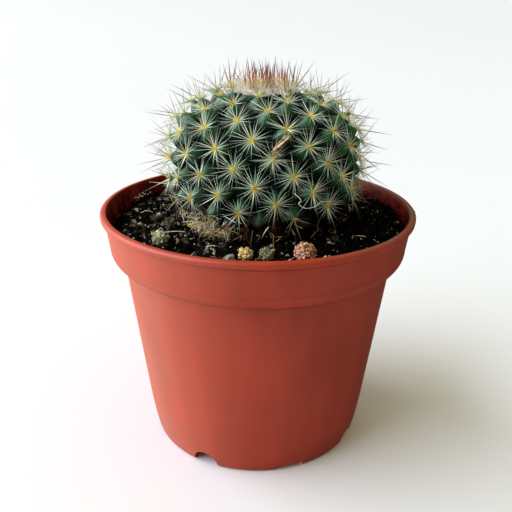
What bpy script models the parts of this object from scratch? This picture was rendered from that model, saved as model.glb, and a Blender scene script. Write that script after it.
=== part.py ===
"""Potted globular cactus: a pincushion cactus in a small plastic nursery pot.

Metres, +Z up. The origin lies on the ground under the middle of the pot, and the plant's best
side faces -Y. Nothing moves: the clods and the plant rest in the soil, and the soil in the pot.
"""
import math
import random

import bmesh
import bpy
import numpy as np
from mathutils import Matrix, Vector, noise
from mathutils.bvhtree import BVHTree

MM = 0.001
GAP = 0.3 * MM                      # clearance between pieces that touch on the real thing
SEED = 7

# Pot: one thin moulding, turned round the Z axis.
POT_HEIGHT = 67.0 * MM
POT_SEGMENTS = 56
WALL = 1.0 * MM
LIP_RADIUS = 42.5 * MM
LIP_HEIGHT = 1.8 * MM
LIP_ROUNDING = 0.7 * MM
COLLAR_TOP_RADIUS = 41.4 * MM
COLLAR_FOOT_RADIUS = 40.5 * MM
COLLAR_FOOT_Z = 57.6 * MM
SHOULDER_RADIUS = 37.0 * MM         # where the shoulder meets the tapering wall
SHOULDER_Z = 53.6 * MM
SHOULDER_STEPS = 4
TAPER_FOOT_RADIUS = 31.8 * MM
TAPER_FOOT_Z = 11.2 * MM
FOOT_TUCK = 0.7 * MM                # extra inward curve of the wall down to the ground
FOOT_EDGE = 0.8 * MM
FLOOR_TOP_Z = 6.0 * MM
FOOT_WALL = 1.4 * MM

# Openings round the foot and in the floor.
NOTCH_PAIRS = 4                     # tall arched notches, with a low flat one between each two
ARCH_FIRST_ANGLE = math.radians(-116.5)
ARCH_RADIUS = 3.7 * MM
ARCH_CENTRE_Z = 0.5 * MM
FLAT_TURN = math.radians(45.0)
FLAT_WIDTH = 8.2 * MM
FLAT_HEIGHT = 1.5 * MM
NOTCH_REACH = (24.0 * MM, 35.0 * MM)
DRAIN_HOLES = 4
DRAIN_RADIUS = 3.0 * MM
DRAIN_CIRCLE = 16.0 * MM

# Soil: fills the pot to about 5 mm below the rim and rises a little round the plant.
SOIL_SEGMENTS = 48
SOIL_LEVEL = 61.7 * MM
SOIL_TILT = 0.018                   # rise towards +X
SOIL_HEAP = 0.8 * MM
SOIL_HEAP_RADIUS = 24.0 * MM
SOIL_HEAP_WIDTH = 6.0 * MM
SOIL_BUMP = 0.9 * MM
SOIL_BUMP_SIZE = 5.0 * MM
SOIL_BUMP_FADE = 8.0 * MM           # the surface is pressed smooth under the plant's edge
SOIL_RINGS = 8

# Plant: the surface through the tubercles' tips is two half superellipses turned round its axis.
PLANT_X = 1.45 * MM
PLANT_RADIUS = 25.6 * MM
PLANT_WIDEST_Z = 79.8 * MM
CROWN_HEIGHT = 18.3 * MM
CROWN_POWER = 2.66
BASE_HEIGHT = 20.0 * MM
BASE_POWER = 2.5
BASE_CUT = 0.81                     # the lowest tubercles stand at this share of the base's height
NECK_RADIUS = 15.0 * MM
NECK_BOTTOM_Z = 50.0 * MM
NECK_TOP_Z = 74.0 * MM
NECK_SIDES = 28
BASE_RING_SIDES = 18
BASE_RING_RADIUS = 15.9 * MM        # edge of the flat underside, just outside the neck
BASE_RING_DROP = 1.2 * MM           # how far it lies under the lowest tubercles
SKIN_END = 6.0 * MM                 # arc beyond the lowest tubercles, where the underside closes
BASE_RING_ARC = 2.5 * MM

# Tubercles follow a golden-angle spiral that gives each the same share of the surface.
DIVERGENCE = math.radians(-137.58)
FIRST_ANGLE = math.radians(228.8)
TUBERCLE_AREA = 51.4 * MM * MM
FIRST_SHARE = 1.85
YOUNG_TUBERCLES = 5                 # crowded at the crown, each nearer to the middle
YOUNG_SHRINK = 0.66
LAST_AREOLE_ARC = 45.6 * MM         # lower tubercles are dry and have lost their spines
VALLEY_DEPTH = 4.1 * MM
CROWN_VALLEY_DEPTH = 1.0 * MM
CROWN_REACH = 15.0 * MM             # arc from the crown over which valleys reach full depth
VALLEY_DROOP = 0.5 * MM             # valleys lie lower than midway, so tubercles point up a little

# Areoles and spines: each tip is cut to a small pad whose facets are drawn out to needles.
AREOLE_OFFSET = 1.0 * MM
YOUNG_AREOLE_OFFSET = 0.45 * MM
AREOLE_INSET = 0.3 * MM
CENTRAL_LENGTH = 8.6 * MM
RADIAL_LENGTH = 5.4 * MM
RADIAL_SPREAD = math.radians(74.0)  # radial spines' angle from the tubercle's axis
CROWN_SPREAD = math.radians(38.0)   # the same at the crown, where they stand up in a tuft
CROWN_TUFT = 9.0 * MM
SPINE_LIFT = 0.28                   # how far tubercle axes turn upwards
SPINE_JITTER = 0.12
SPINE_LENGTHS = (0.88, 1.08)
SPINE_RADIUS = 0.36 * MM            # at the root, for keeping spines apart
SPINE_CLEARANCE = 0.14 * MM
CENTRAL_LEAN = math.radians(4.0)
AIM_STEP = math.radians(8.0)
AIM_LIFTS = 4
AIM_LIFT = math.radians(6.0)
AIM_SHORTER = 0.06
SOIL_CLEARANCE = 1.0 * MM

# Withered flower: path as (angle, arc from the crown, height over the tips) and its radii.
FLOWER_PATH = ((-83.0, 28.2, -1.2), (-84.0, 28.8, 0.9), (-82.6, 28.1, 2.5), (-80.0, 27.1, 3.4),
               (-77.6, 26.4, 3.5), (-75.6, 26.6, 2.9))
FLOWER_RADII = (0.5, 0.65, 0.8, 0.7, 0.55, 0.35)
FLOWER_SIDES = 8
FLOWER_CLEARANCE = 1.7 * MM

# Loose clods and the clay pebble: name, centre x and y, radius, flattening, colour.
CLODS = (
    ("clay_pebble", 11.5, -31.2, 3.1, 0.92, "A8664E"),
    ("mossy_clod", -24.2, -19.0, 2.3, 0.9, "9A9470"),
    ("olive_clod", 2.4, -29.0, 1.9, 0.85, "6E6A48"),
    ("ochre_clod", -2.5, -29.8, 1.8, 0.9, "9C7A42"),
    ("grey_clod", -6.0, -30.4, 1.2, 0.85, "77756A"),
    ("left_clod", -23.4, -7.8, 1.9, 0.75, "6B6852"),
)
CLOD_ROUGHNESS = 0.16
CLOD_DROP_FROM = 80.0 * MM
SEAT_TRIES = 60
SEAT_REACH = 14.0 * MM              # how far from a clod's middle the soil's corners are tested


def linear(hex_colour):
    """Linear RGBA of an sRGB hex colour."""
    channels = [int(hex_colour[i:i + 2], 16) / 255.0 for i in (0, 2, 4)]
    return [c / 12.92 if c <= 0.04045 else ((c + 0.055) / 1.055) ** 2.4 for c in channels] + [1.0]


def make_material(name, hex_colour, roughness, metallic=0.0):
    material = bpy.data.materials.new(name)
    material.use_nodes = True
    shader = material.node_tree.nodes["Principled BSDF"]
    shader.inputs["Base Color"].default_value = linear(hex_colour)
    shader.inputs["Roughness"].default_value = roughness
    shader.inputs["Metallic"].default_value = metallic
    return material


def make_object(name, bm, *materials):
    """Turn a bmesh into a named object with its materials, with normals outwards."""
    bmesh.ops.recalc_face_normals(bm, faces=bm.faces)
    mesh = bpy.data.meshes.new(name)
    bm.to_mesh(mesh)
    bm.free()
    for material in materials:
        mesh.materials.append(material)
    piece = bpy.data.objects.new(name, mesh)
    bpy.context.scene.collection.objects.link(piece)
    return piece


def smooth(piece, degrees):
    piece.data.shade_smooth()
    piece.data.set_sharp_from_angle(angle=math.radians(degrees))


def hide_helper(piece):
    piece.hide_render = True
    piece.display_type = "WIRE"


def turned(outline, segments):
    """Solid of revolution from (radius, z) points that start and end on the axis."""
    bm = bmesh.new()
    verts = [bm.verts.new((radius, 0.0, z)) for radius, z in outline]
    edges = [bm.edges.new(pair) for pair in zip(verts, verts[1:])]
    bmesh.ops.spin(bm, geom=verts + edges, axis=(0, 0, 1), cent=(0, 0, 0), angle=2 * math.pi,
                   steps=segments, use_merge=True, use_duplicate=False)
    bmesh.ops.remove_doubles(bm, verts=bm.verts, dist=0.001 * MM)
    bmesh.ops.dissolve_degenerate(bm, edges=bm.edges, dist=0.001 * MM)
    return bm


def quarter(centre, radii, start, end, steps):
    """Points on an ellipse's arc, in the (radius, z) plane."""
    angles = np.linspace(start, end, steps + 1)
    return [(centre[0] + radii[0] * math.cos(a), centre[1] + radii[1] * math.sin(a)) for a in angles]


# ---------------------------------------------------------------- pot and soil

def wall_radius(z):
    """Outer radius of the tapering wall, with the inward curve of the foot."""
    slope = (SHOULDER_RADIUS - TAPER_FOOT_RADIUS) / (SHOULDER_Z - TAPER_FOOT_Z)
    radius = TAPER_FOOT_RADIUS + slope * (z - TAPER_FOOT_Z)
    if z < TAPER_FOOT_Z:
        radius -= FOOT_TUCK * (1.0 - z / TAPER_FOOT_Z) ** 2
    return radius


def inside_outline(clearance, top_z):
    """Inner face of the pot from top_z down to the floor's middle, moved inwards by clearance."""
    share = (top_z - COLLAR_FOOT_Z) / (POT_HEIGHT - LIP_HEIGHT - COLLAR_FOOT_Z)
    top_radius = COLLAR_FOOT_RADIUS + share * (COLLAR_TOP_RADIUS - COLLAR_FOOT_RADIUS) - WALL
    ledge = (SHOULDER_RADIUS - WALL, COLLAR_FOOT_Z + 0.3 * WALL)
    ledge_width = COLLAR_FOOT_RADIUS - SHOULDER_RADIUS - clearance
    ledge_height = ledge[1] - SHOULDER_Z - WALL - clearance
    points = [(top_radius - clearance, top_z)]
    points += quarter(ledge, (ledge_width, ledge_height), 0.0, -math.pi / 2, SHOULDER_STEPS)
    points[-1] = (ledge[0] - clearance, points[-1][1])
    for z in (TAPER_FOOT_Z, FLOOR_TOP_Z + WALL + clearance):
        points.append((wall_radius(z) - WALL - clearance, z))
    points.append((wall_radius(FLOOR_TOP_Z) - 2 * WALL - clearance, FLOOR_TOP_Z + clearance))
    points.append((0.0, FLOOR_TOP_Z + clearance))
    return points


def pot_outline():
    """Closed section of the pot from the underside's middle round to the floor's middle."""
    lip_z = POT_HEIGHT - LIP_HEIGHT
    floor_z = FLOOR_TOP_Z - WALL
    foot_radius = wall_radius(0.0)
    points = [(0.0, floor_z), (wall_radius(floor_z) - FOOT_WALL, floor_z)]
    points += [(foot_radius - FOOT_WALL - 0.2 * MM, 0.0), (foot_radius - FOOT_EDGE, 0.0)]
    points += [(wall_radius(z), z) for z in (FOOT_EDGE, 3.5 * MM, 7.0 * MM, TAPER_FOOT_Z)]
    shoulder = (SHOULDER_RADIUS, COLLAR_FOOT_Z)
    shoulder_size = (COLLAR_FOOT_RADIUS - SHOULDER_RADIUS, COLLAR_FOOT_Z - SHOULDER_Z)
    points += quarter(shoulder, shoulder_size, -math.pi / 2, 0.0, SHOULDER_STEPS)
    points += [(COLLAR_TOP_RADIUS, lip_z), (LIP_RADIUS - 0.3 * MM, lip_z)]
    rounding = (LIP_RADIUS - LIP_ROUNDING, POT_HEIGHT - LIP_ROUNDING)
    points += quarter(rounding, (LIP_ROUNDING, LIP_ROUNDING), 0.0, math.pi / 2, 3)
    points += [(COLLAR_TOP_RADIUS - 0.4 * MM, POT_HEIGHT),
               (COLLAR_TOP_RADIUS - 0.8 * MM, POT_HEIGHT - 0.4 * MM)]
    return points + inside_outline(0.0, lip_z)


def radial_matrix(angle, z):
    """Frame whose X runs out from the pot's axis at an angle, at a height."""
    return Matrix.Rotation(angle, 4, "Z") @ Matrix.Translation((0.0, 0.0, z))


def pot_cutter():
    """Arched and flat notches through the foot ring, and the drain holes in the floor."""
    bm = bmesh.new()
    reach = NOTCH_REACH[1] - NOTCH_REACH[0]
    middle = Matrix.Translation((sum(NOTCH_REACH) / 2, 0.0, 0.0))
    for i in range(NOTCH_PAIRS):
        angle = ARCH_FIRST_ANGLE + 2 * math.pi * i / NOTCH_PAIRS
        lying = middle @ Matrix.Rotation(math.pi / 2, 4, "Y")
        bmesh.ops.create_cone(bm, cap_ends=True, segments=16, radius1=ARCH_RADIUS,
                              radius2=ARCH_RADIUS, depth=reach,
                              matrix=radial_matrix(angle, ARCH_CENTRE_Z) @ lying)
        size = Matrix.Diagonal((reach, FLAT_WIDTH, 2 * FLAT_HEIGHT, 1.0))
        bmesh.ops.create_cube(bm, size=1.0, matrix=radial_matrix(angle + FLAT_TURN, 0.0) @ middle @ size)
    for i in range(DRAIN_HOLES):
        angle = ARCH_FIRST_ANGLE + 2 * math.pi * i / DRAIN_HOLES
        place = radial_matrix(angle, FLOOR_TOP_Z) @ Matrix.Translation((DRAIN_CIRCLE, 0.0, 0.0))
        bmesh.ops.create_cone(bm, cap_ends=True, segments=16, radius1=DRAIN_RADIUS,
                              radius2=DRAIN_RADIUS, depth=4 * WALL, matrix=place)
    return make_object("pot_cutter", bm)


def build_pot():
    pot = make_object("pot", turned(pot_outline(), POT_SEGMENTS),
                      make_material("terracotta_plastic", "B34B38", 0.5))
    cutter = pot_cutter()
    hide_helper(cutter)
    cut = pot.modifiers.new("openings", "BOOLEAN")
    cut.operation = "DIFFERENCE"
    cut.solver = "EXACT"
    cut.object = cutter
    smooth(pot, 35)
    return pot


def soil_height(x, y):
    """Height of the soil's surface."""
    radius = math.hypot(x - PLANT_X, y)
    heap = SOIL_HEAP * math.exp(-((radius - SOIL_HEAP_RADIUS) / SOIL_HEAP_WIDTH) ** 2)
    fade = min(max((radius - NECK_RADIUS) / SOIL_BUMP_FADE, 0.0), 1.0)
    bump = SOIL_BUMP * noise.noise(Vector((x, y, 0.0)) / SOIL_BUMP_SIZE)
    return SOIL_LEVEL + SOIL_TILT * x + heap + fade * bump


def build_soil():
    """Turned filling whose top rings are lifted to the surface, with a plain hole for the neck."""
    side = inside_outline(GAP, SOIL_LEVEL)
    hole = NECK_RADIUS + GAP
    top = [(radius, SOIL_LEVEL) for radius in np.linspace(hole, side[0][0], SOIL_RINGS + 1)]
    floor_z = NECK_BOTTOM_Z - GAP
    bm = turned([(0.0, floor_z), (hole, floor_z)] + top + side[1:], SOIL_SEGMENTS)
    for vert in bm.verts:
        radius = math.hypot(vert.co.x, vert.co.y)
        if radius < 0.99 * hole or (vert.co.z < SOIL_LEVEL and radius < 1.01 * hole):
            vert.co.x += PLANT_X
        elif abs(vert.co.z - SOIL_LEVEL) < 0.01 * MM:
            vert.co.x += PLANT_X * (side[0][0] - radius) / (side[0][0] - hole)
            vert.co.z = soil_height(vert.co.x, vert.co.y)
    soil = make_object("soil", bm, make_material("potting_soil", "2B221C", 0.95))
    smooth(soil, 60)
    return soil


# ---------------------------------------------------------------- plant

class Meridian:
    """Half outline of the plant from the crown to the base, read by the arc from the crown."""

    def __init__(self, samples=1500):
        turn = np.linspace(0.0, math.pi - math.acos(BASE_CUT ** (BASE_POWER / 2)), samples)
        upper = np.cos(turn) >= 0
        power = np.where(upper, CROWN_POWER, BASE_POWER)
        height = np.where(upper, CROWN_HEIGHT, BASE_HEIGHT)
        self.radius = PLANT_RADIUS * np.sin(turn) ** (2 / power)
        self.z = PLANT_WIDEST_Z + height * np.sign(np.cos(turn)) * np.abs(np.cos(turn)) ** (2 / power)
        step = np.hypot(np.diff(self.radius), np.diff(self.z))
        belt = 2 * math.pi * step * (self.radius[1:] + self.radius[:-1]) / 2
        self.arc = np.concatenate(([0.0], np.cumsum(step)))
        self.area = np.concatenate(([0.0], np.cumsum(belt)))

    def arc_at_area(self, area):
        return float(np.interp(area, self.area, self.arc))

    def point(self, angle, arc, height=0.0):
        """Point at an angle and arc, raised by height along the outward normal."""
        radius = float(np.interp(arc, self.arc, self.radius))
        z = float(np.interp(arc, self.arc, self.z))
        normal = self.normal(angle, arc)
        out = Vector((math.cos(angle), math.sin(angle), 0.0))
        return Vector((PLANT_X, 0.0, z)) + out * radius + normal * height

    def normal(self, angle, arc):
        near = (max(arc - 0.4 * MM, 0.0), min(arc + 0.4 * MM, self.arc[-1]))
        rise = np.interp(near, self.arc, self.z)
        reach = np.interp(near, self.arc, self.radius)
        normal = Vector((rise[0] - rise[1], reach[1] - reach[0])).normalized()
        return Vector((math.cos(angle) * normal.x, math.sin(angle) * normal.x, normal.y))


def spiral(meridian):
    """Angle and arc of each tubercle, from the crown's young ones down to the base."""
    places = []
    for i in range(-YOUNG_TUBERCLES, 10000):
        share = i + FIRST_SHARE if i >= 0 else FIRST_SHARE * YOUNG_SHRINK ** -i
        if share * TUBERCLE_AREA > meridian.area[-1]:
            return places
        places.append((FIRST_ANGLE + i * DIVERGENCE, meridian.arc_at_area(share * TUBERCLE_AREA)))


def on_sphere(angle, polar):
    return Vector((math.sin(polar) * math.cos(angle), math.sin(polar) * math.sin(angle), math.cos(polar)))


def valley_depth(arc):
    share = min(arc / CROWN_REACH, 1.0)
    return CROWN_VALLEY_DEPTH + (VALLEY_DEPTH - CROWN_VALLEY_DEPTH) * share


def tubercle_mesh(meridian, places):
    """Skin with a peak at each place, a valley between each three, and the list of peaks.

    The places are spread over a unit sphere, whose hull joins each to its neighbours. A vertex
    poked into each face becomes a valley, and the edges that joined peaks are turned to join
    valleys. The sphere is then mapped back to the plant's surface.
    """
    bm = bmesh.new()
    end = meridian.arc[-1] + SKIN_END
    peaks = [bm.verts.new(on_sphere(angle, math.pi * arc / end)) for angle, arc in places]
    ring_polar = math.pi * (meridian.arc[-1] + BASE_RING_ARC) / end
    ring = [bm.verts.new(on_sphere(2 * math.pi * i / BASE_RING_SIDES, ring_polar))
            for i in range(BASE_RING_SIDES)]
    pole = bm.verts.new((0.0, 0.0, -1.0))
    bmesh.ops.convex_hull(bm, input=bm.verts, use_existing_faces=False)
    peak_set = set(peaks)
    hills = [face for face in bm.faces if all(vert in peak_set for vert in face.verts)]
    ridges = [edge for edge in bm.edges if all(face in set(hills) for face in edge.link_faces)]
    valleys = bmesh.ops.poke(bm, faces=hills)["verts"]
    bmesh.ops.rotate_edges(bm, edges=ridges, use_ccw=False)
    for vert in valleys:
        direction = vert.co.normalized()
        arc = end * math.acos(direction.z) / math.pi
        angle = math.atan2(direction.y, direction.x)
        vert.co = meridian.point(angle, min(arc + VALLEY_DROOP, meridian.arc[-1]), -valley_depth(arc))
    for vert, (angle, arc) in zip(peaks, places):
        vert.co = meridian.point(angle, arc)
    bottom = meridian.z[-1] - BASE_RING_DROP
    for i, vert in enumerate(ring):
        angle = 2 * math.pi * i / BASE_RING_SIDES
        vert.co = Vector((PLANT_X, 0.0, bottom)) + BASE_RING_RADIUS * on_sphere(angle, math.pi / 2)
    pole.co = (PLANT_X, 0.0, bottom)
    return bm, peaks


def flower_path(meridian):
    return [meridian.point(math.radians(angle), arc * MM, height * MM)
            for angle, arc, height in FLOWER_PATH]


def clear_of_flower(root, tip, path):
    """True where a spine keeps its distance from the withered flower."""
    spots = [path[i].lerp(path[i + 1], k / 3) for i in range(len(path) - 1) for k in range(4)]
    along = [root.lerp(tip, k / 6) for k in range(7)]
    return min((a - b).length for a in along for b in spots) > FLOWER_CLEARANCE


def clear_of_soil(tip):
    return tip.z > soil_height(tip.x, tip.y) + SOIL_CLEARANCE


def clear_of_spines(root, tip, grown):
    """True where a spine passes the grown ones of other areoles without touching."""
    if not grown:
        return True
    roots, tips = (np.array([spine[end] for spine in grown]) for end in (0, 1))
    own, others = np.array(tip - root), tips - roots
    apart = np.array(root) - roots
    own_square, square = own @ own, (others * others).sum(1)
    along, reach, cross = others @ own, (others * apart).sum(1), apart @ own
    spread = np.maximum(own_square * square - along ** 2, 1e-18)
    own_share = np.clip((along * reach - cross * square) / spread, 0.0, 1.0)
    share = np.clip((along * own_share + reach) / square, 0.0, 1.0)
    own_share = np.clip((along * share - cross) / own_square, 0.0, 1.0)
    gap = np.linalg.norm(apart + np.outer(own_share, own) - others * share[:, None], axis=1)
    return bool(np.all(gap > SPINE_RADIUS * (2.0 - own_share - share) + SPINE_CLEARANCE))


def aims(axis, out, spread, length):
    """Spine vectors to try in turn: swung to either side, then lifted and made a little shorter."""
    for lift in range(AIM_LIFTS):
        for turn in (0.0, AIM_STEP, -AIM_STEP, 2 * AIM_STEP, -2 * AIM_STEP):
            slant = spread - lift * AIM_LIFT
            ray = out * math.sin(slant) + axis * math.cos(slant)
            yield Matrix.Rotation(turn, 3, axis) @ ray * length * (1.0 - AIM_SHORTER * lift)


def draw_spine(bm, facet, rays, path, grown):
    """Draw a facet out to a needle along the first ray that meets nothing."""
    root = facet.calc_center_median()
    for ray in rays:
        tip = root + ray
        if clear_of_soil(tip) and clear_of_flower(root, tip, path) and clear_of_spines(root, tip, grown):
            needle = bmesh.ops.poke(bm, faces=[facet])
            needle["verts"][0].co = tip
            for face in needle["faces"]:
                face.material_index = 1
            return [(root, tip)]
    return []


def grow_areole(bm, peak, angle, arc, meridian, path, grown, rng):
    """Cut a peak to a pad and draw its middle and its border facets out to spines."""
    young = max(0.0, 1.0 - arc / CROWN_TUFT)
    offset = AREOLE_OFFSET + (YOUNG_AREOLE_OFFSET - AREOLE_OFFSET) * young
    cut = bmesh.ops.bevel(bm, geom=[peak], affect="VERTICES", offset_type="OFFSET", offset=offset,
                          segments=1, profile=0.5, material=-1, clamp_overlap=False)
    pad = max(cut["faces"], key=lambda face: len(face.verts))
    lift = Vector((0.0, 0.0, SPINE_LIFT))
    sway = Vector([rng.uniform(-SPINE_JITTER, SPINE_JITTER) for _ in range(3)])
    axis = (meridian.normal(angle, arc) + lift + sway).normalized()
    border = bmesh.ops.inset_individual(bm, faces=[pad], thickness=AREOLE_INSET * offset / AREOLE_OFFSET,
                                        depth=0.1 * MM, use_even_offset=True)["faces"]
    centre = pad.calc_center_median()
    spread = RADIAL_SPREAD + (CROWN_SPREAD - RADIAL_SPREAD) * young
    spines = []
    for facet in border:
        out = facet.calc_center_median() - centre
        out = (out - axis * out.dot(axis)).normalized()
        length = RADIAL_LENGTH * rng.uniform(*SPINE_LENGTHS)
        spines += draw_spine(bm, facet, aims(axis, out, spread, length), path, grown)
    side = axis.orthogonal().normalized()
    length = CENTRAL_LENGTH * rng.uniform(*SPINE_LENGTHS)
    spines += draw_spine(bm, pad, aims(axis, side, CENTRAL_LEAN, length), path, grown)
    grown += spines


def build_neck(skin):
    bm = bmesh.new()
    height = NECK_TOP_Z - NECK_BOTTOM_Z
    place = Matrix.Translation((PLANT_X, 0.0, NECK_BOTTOM_Z + height / 2))
    bmesh.ops.create_cone(bm, cap_ends=True, segments=NECK_SIDES, radius1=NECK_RADIUS,
                          radius2=NECK_RADIUS, depth=height, matrix=place)
    return make_object("neck", bm, skin)


def apply_modifiers(piece):
    """Replace a piece's mesh with what its modifiers make of it."""
    graph = bpy.context.evaluated_depsgraph_get()
    mesh = bpy.data.meshes.new_from_object(piece.evaluated_get(graph))
    piece.modifiers.clear()
    piece.data = mesh


def build_cactus(meridian):
    """Tuberculate body with its spines, joined with the neck that stands in the soil."""
    rng = random.Random(SEED)
    places = spiral(meridian)
    bm, peaks = tubercle_mesh(meridian, places)
    path = flower_path(meridian)
    grown = []
    for peak, (angle, arc) in zip(peaks, places):
        if arc < LAST_AREOLE_ARC:
            grow_areole(bm, peak, angle, arc, meridian, path, grown, rng)
    bmesh.ops.triangulate(bm, faces=bm.faces)
    skin = make_material("plant_skin", "2F5A48", 0.55)
    cactus = make_object("cactus", bm, skin, make_material("spine", "D9D2A8", 0.5))
    neck = build_neck(skin)
    join = cactus.modifiers.new("neck", "BOOLEAN")
    join.operation = "UNION"
    join.solver = "EXACT"
    join.object = neck
    apply_modifiers(cactus)
    bpy.data.objects.remove(neck)
    return cactus


# ---------------------------------------------------------------- loose pieces

def tree_of(piece):
    graph = bpy.context.evaluated_depsgraph_get()
    return BVHTree.FromObject(piece, graph)


def seat(bm, other, direction):
    """Move a piece along a direction until it lies GAP from another one."""
    surface = tree_of(other)
    spots = [vert.co.copy() for vert in other.data.vertices]
    for _ in range(SEAT_TRIES):
        own = BVHTree.FromBMesh(bm)
        room = min(surface.find_nearest(vert.co)[3] for vert in bm.verts)
        centre = sum((vert.co for vert in bm.verts), Vector()) / len(bm.verts)
        near = [spot for spot in spots if (spot - centre).length < SEAT_REACH]
        room = min([room] + [own.find_nearest(spot)[3] for spot in near])
        if room - GAP < 0.01 * MM:
            return
        bmesh.ops.translate(bm, verts=bm.verts, vec=direction * (room - GAP))


def build_flower(meridian, cactus):
    """Curled dry flower, a tube of rings along its path, nestled between two tubercles."""
    path = flower_path(meridian)
    bm = bmesh.new()
    rings = []
    for i, (centre, radius) in enumerate(zip(path, FLOWER_RADII)):
        along = (path[min(i + 1, len(path) - 1)] - path[max(i - 1, 0)]).normalized()
        turn = along.to_track_quat("Z", "Y").to_matrix().to_4x4()
        place = Matrix.Translation(centre) @ turn
        ring = bmesh.ops.create_circle(bm, segments=FLOWER_SIDES, radius=radius * MM, matrix=place)["verts"]
        rings.append([edge for edge in bm.edges if all(vert in ring for vert in edge.verts)])
    for lower, upper in zip(rings, rings[1:]):
        bmesh.ops.bridge_loops(bm, edges=lower + upper)
    bmesh.ops.holes_fill(bm, edges=rings[0] + rings[-1], sides=FLOWER_SIDES)
    bmesh.ops.triangulate(bm, faces=bm.faces)
    inward = -meridian.normal(math.radians(FLOWER_PATH[0][0]), FLOWER_PATH[0][1] * MM)
    seat(bm, cactus, inward)
    flower = make_object("dried_flower", bm, make_material("dry_petals", "8A6B48", 0.8))
    smooth(flower, 60)


def build_clod(name, x, y, radius, flattening, hex_colour, soil):
    """Rough round clod, dropped on the soil."""
    bm = bmesh.new()
    bmesh.ops.create_icosphere(bm, subdivisions=2, radius=radius * MM)
    for vert in bm.verts:
        grain = noise.noise(vert.co / (radius * MM) * 1.7 + Vector((x, y, 0.0)))
        vert.co *= 1.0 + CLOD_ROUGHNESS * grain
        vert.co.z *= flattening
    bmesh.ops.translate(bm, verts=bm.verts, vec=(x * MM, y * MM, CLOD_DROP_FROM))
    seat(bm, soil, Vector((0.0, 0.0, -1.0)))
    clod = make_object(name, bm, make_material(name + "_surface", hex_colour, 0.9))
    smooth(clod, 50)


def main():
    for piece in list(bpy.data.objects):
        bpy.data.objects.remove(piece)
    build_pot()
    soil = build_soil()
    meridian = Meridian()
    cactus = build_cactus(meridian)
    build_flower(meridian, cactus)
    for clod in CLODS:
        build_clod(*clod, soil)


main()
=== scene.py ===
"""Potted globular cactus: a pincushion cactus in a small terracotta-coloured plastic pot.

The file is laid out as an add-on: property groups hold the sizes and colours, and each operator
makes one piece or one group of like pieces. Metres, +Z up; the origin lies on the ground under the
middle of the pot, and the plant's best side faces -Y.
"""

import math
import random

import bmesh
import bpy
import numpy as np
from mathutils import Euler, Matrix, Vector, noise


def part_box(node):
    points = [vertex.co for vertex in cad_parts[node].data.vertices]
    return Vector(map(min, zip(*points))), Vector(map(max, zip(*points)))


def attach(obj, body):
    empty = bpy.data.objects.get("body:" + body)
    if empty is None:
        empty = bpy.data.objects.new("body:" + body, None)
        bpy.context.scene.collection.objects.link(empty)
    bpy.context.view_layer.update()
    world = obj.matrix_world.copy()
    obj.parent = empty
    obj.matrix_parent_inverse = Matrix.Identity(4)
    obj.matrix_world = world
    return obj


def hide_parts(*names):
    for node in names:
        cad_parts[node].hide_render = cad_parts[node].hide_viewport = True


bl_info = {
    "name": "Potted globular cactus",
    "version": (1, 0, 0),
    "blender": (4, 5, 0),
    "location": "3D View > Sidebar > Cactus",
    "description": "Makes a pincushion cactus in a plastic pot, with its soil, spines and clods",
    "category": "Add Mesh",
}

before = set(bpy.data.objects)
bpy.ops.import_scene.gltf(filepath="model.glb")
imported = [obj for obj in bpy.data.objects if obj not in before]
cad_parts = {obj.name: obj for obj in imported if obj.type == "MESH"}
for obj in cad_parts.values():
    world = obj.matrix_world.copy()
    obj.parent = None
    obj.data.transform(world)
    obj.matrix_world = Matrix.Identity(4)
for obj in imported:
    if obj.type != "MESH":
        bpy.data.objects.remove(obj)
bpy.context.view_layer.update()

MM = 0.001
SEED = 11
TURN = 2.0 * math.pi

# Pot, as in the solids.
POT_HEIGHT = 67.0 * MM
WALL = 1.0 * MM
LIP_RADIUS = 42.5 * MM
LIP_HEIGHT = 1.8 * MM
LIP_ROUND = (1.0 * MM, 0.8 * MM)
LIP_INNER_RADIUS = 40.95 * MM
COLLAR_TOP_RADIUS = 41.4 * MM
COLLAR_FOOT_RADIUS = 40.5 * MM
COLLAR_FOOT_Z = 57.6 * MM
SHOULDER_RADIUS = 37.0 * MM
SHOULDER_Z = 53.6 * MM
TAPER_FOOT_RADIUS = 31.8 * MM
TAPER_FOOT_Z = 11.2 * MM
FOOT_TUCK = 0.7 * MM
FOOT_EDGE = 0.8 * MM
FLOOR_TOP_Z = 6.0 * MM
FOOT_WALL = 1.4 * MM
NOTCH_PAIRS = 4
ARCH_FIRST_ANGLE = math.radians(-116.5)
ARCH_RADIUS = 3.7 * MM
ARCH_CENTRE_Z = 0.5 * MM
FLAT_TURN = math.radians(45.0)
FLAT_WIDTH = 8.2 * MM
FLAT_HEIGHT = 1.5 * MM
NOTCH_REACH = (24.0 * MM, 35.0 * MM)
DRAIN_RADIUS = 3.0 * MM
DRAIN_CIRCLE = 16.0 * MM

# Soil, as in the solids.
SOIL_LEVEL = 61.7 * MM
SOIL_TILT = 0.018
SOIL_HEAP = 0.8 * MM
SOIL_HEAP_RADIUS = 24.0 * MM
SOIL_HEAP_WIDTH = 6.0 * MM
SOIL_BUMP = 0.9 * MM
SOIL_BUMP_SIZE = 5.0 * MM
SOIL_BUMP_FADE = 8.0 * MM

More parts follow.
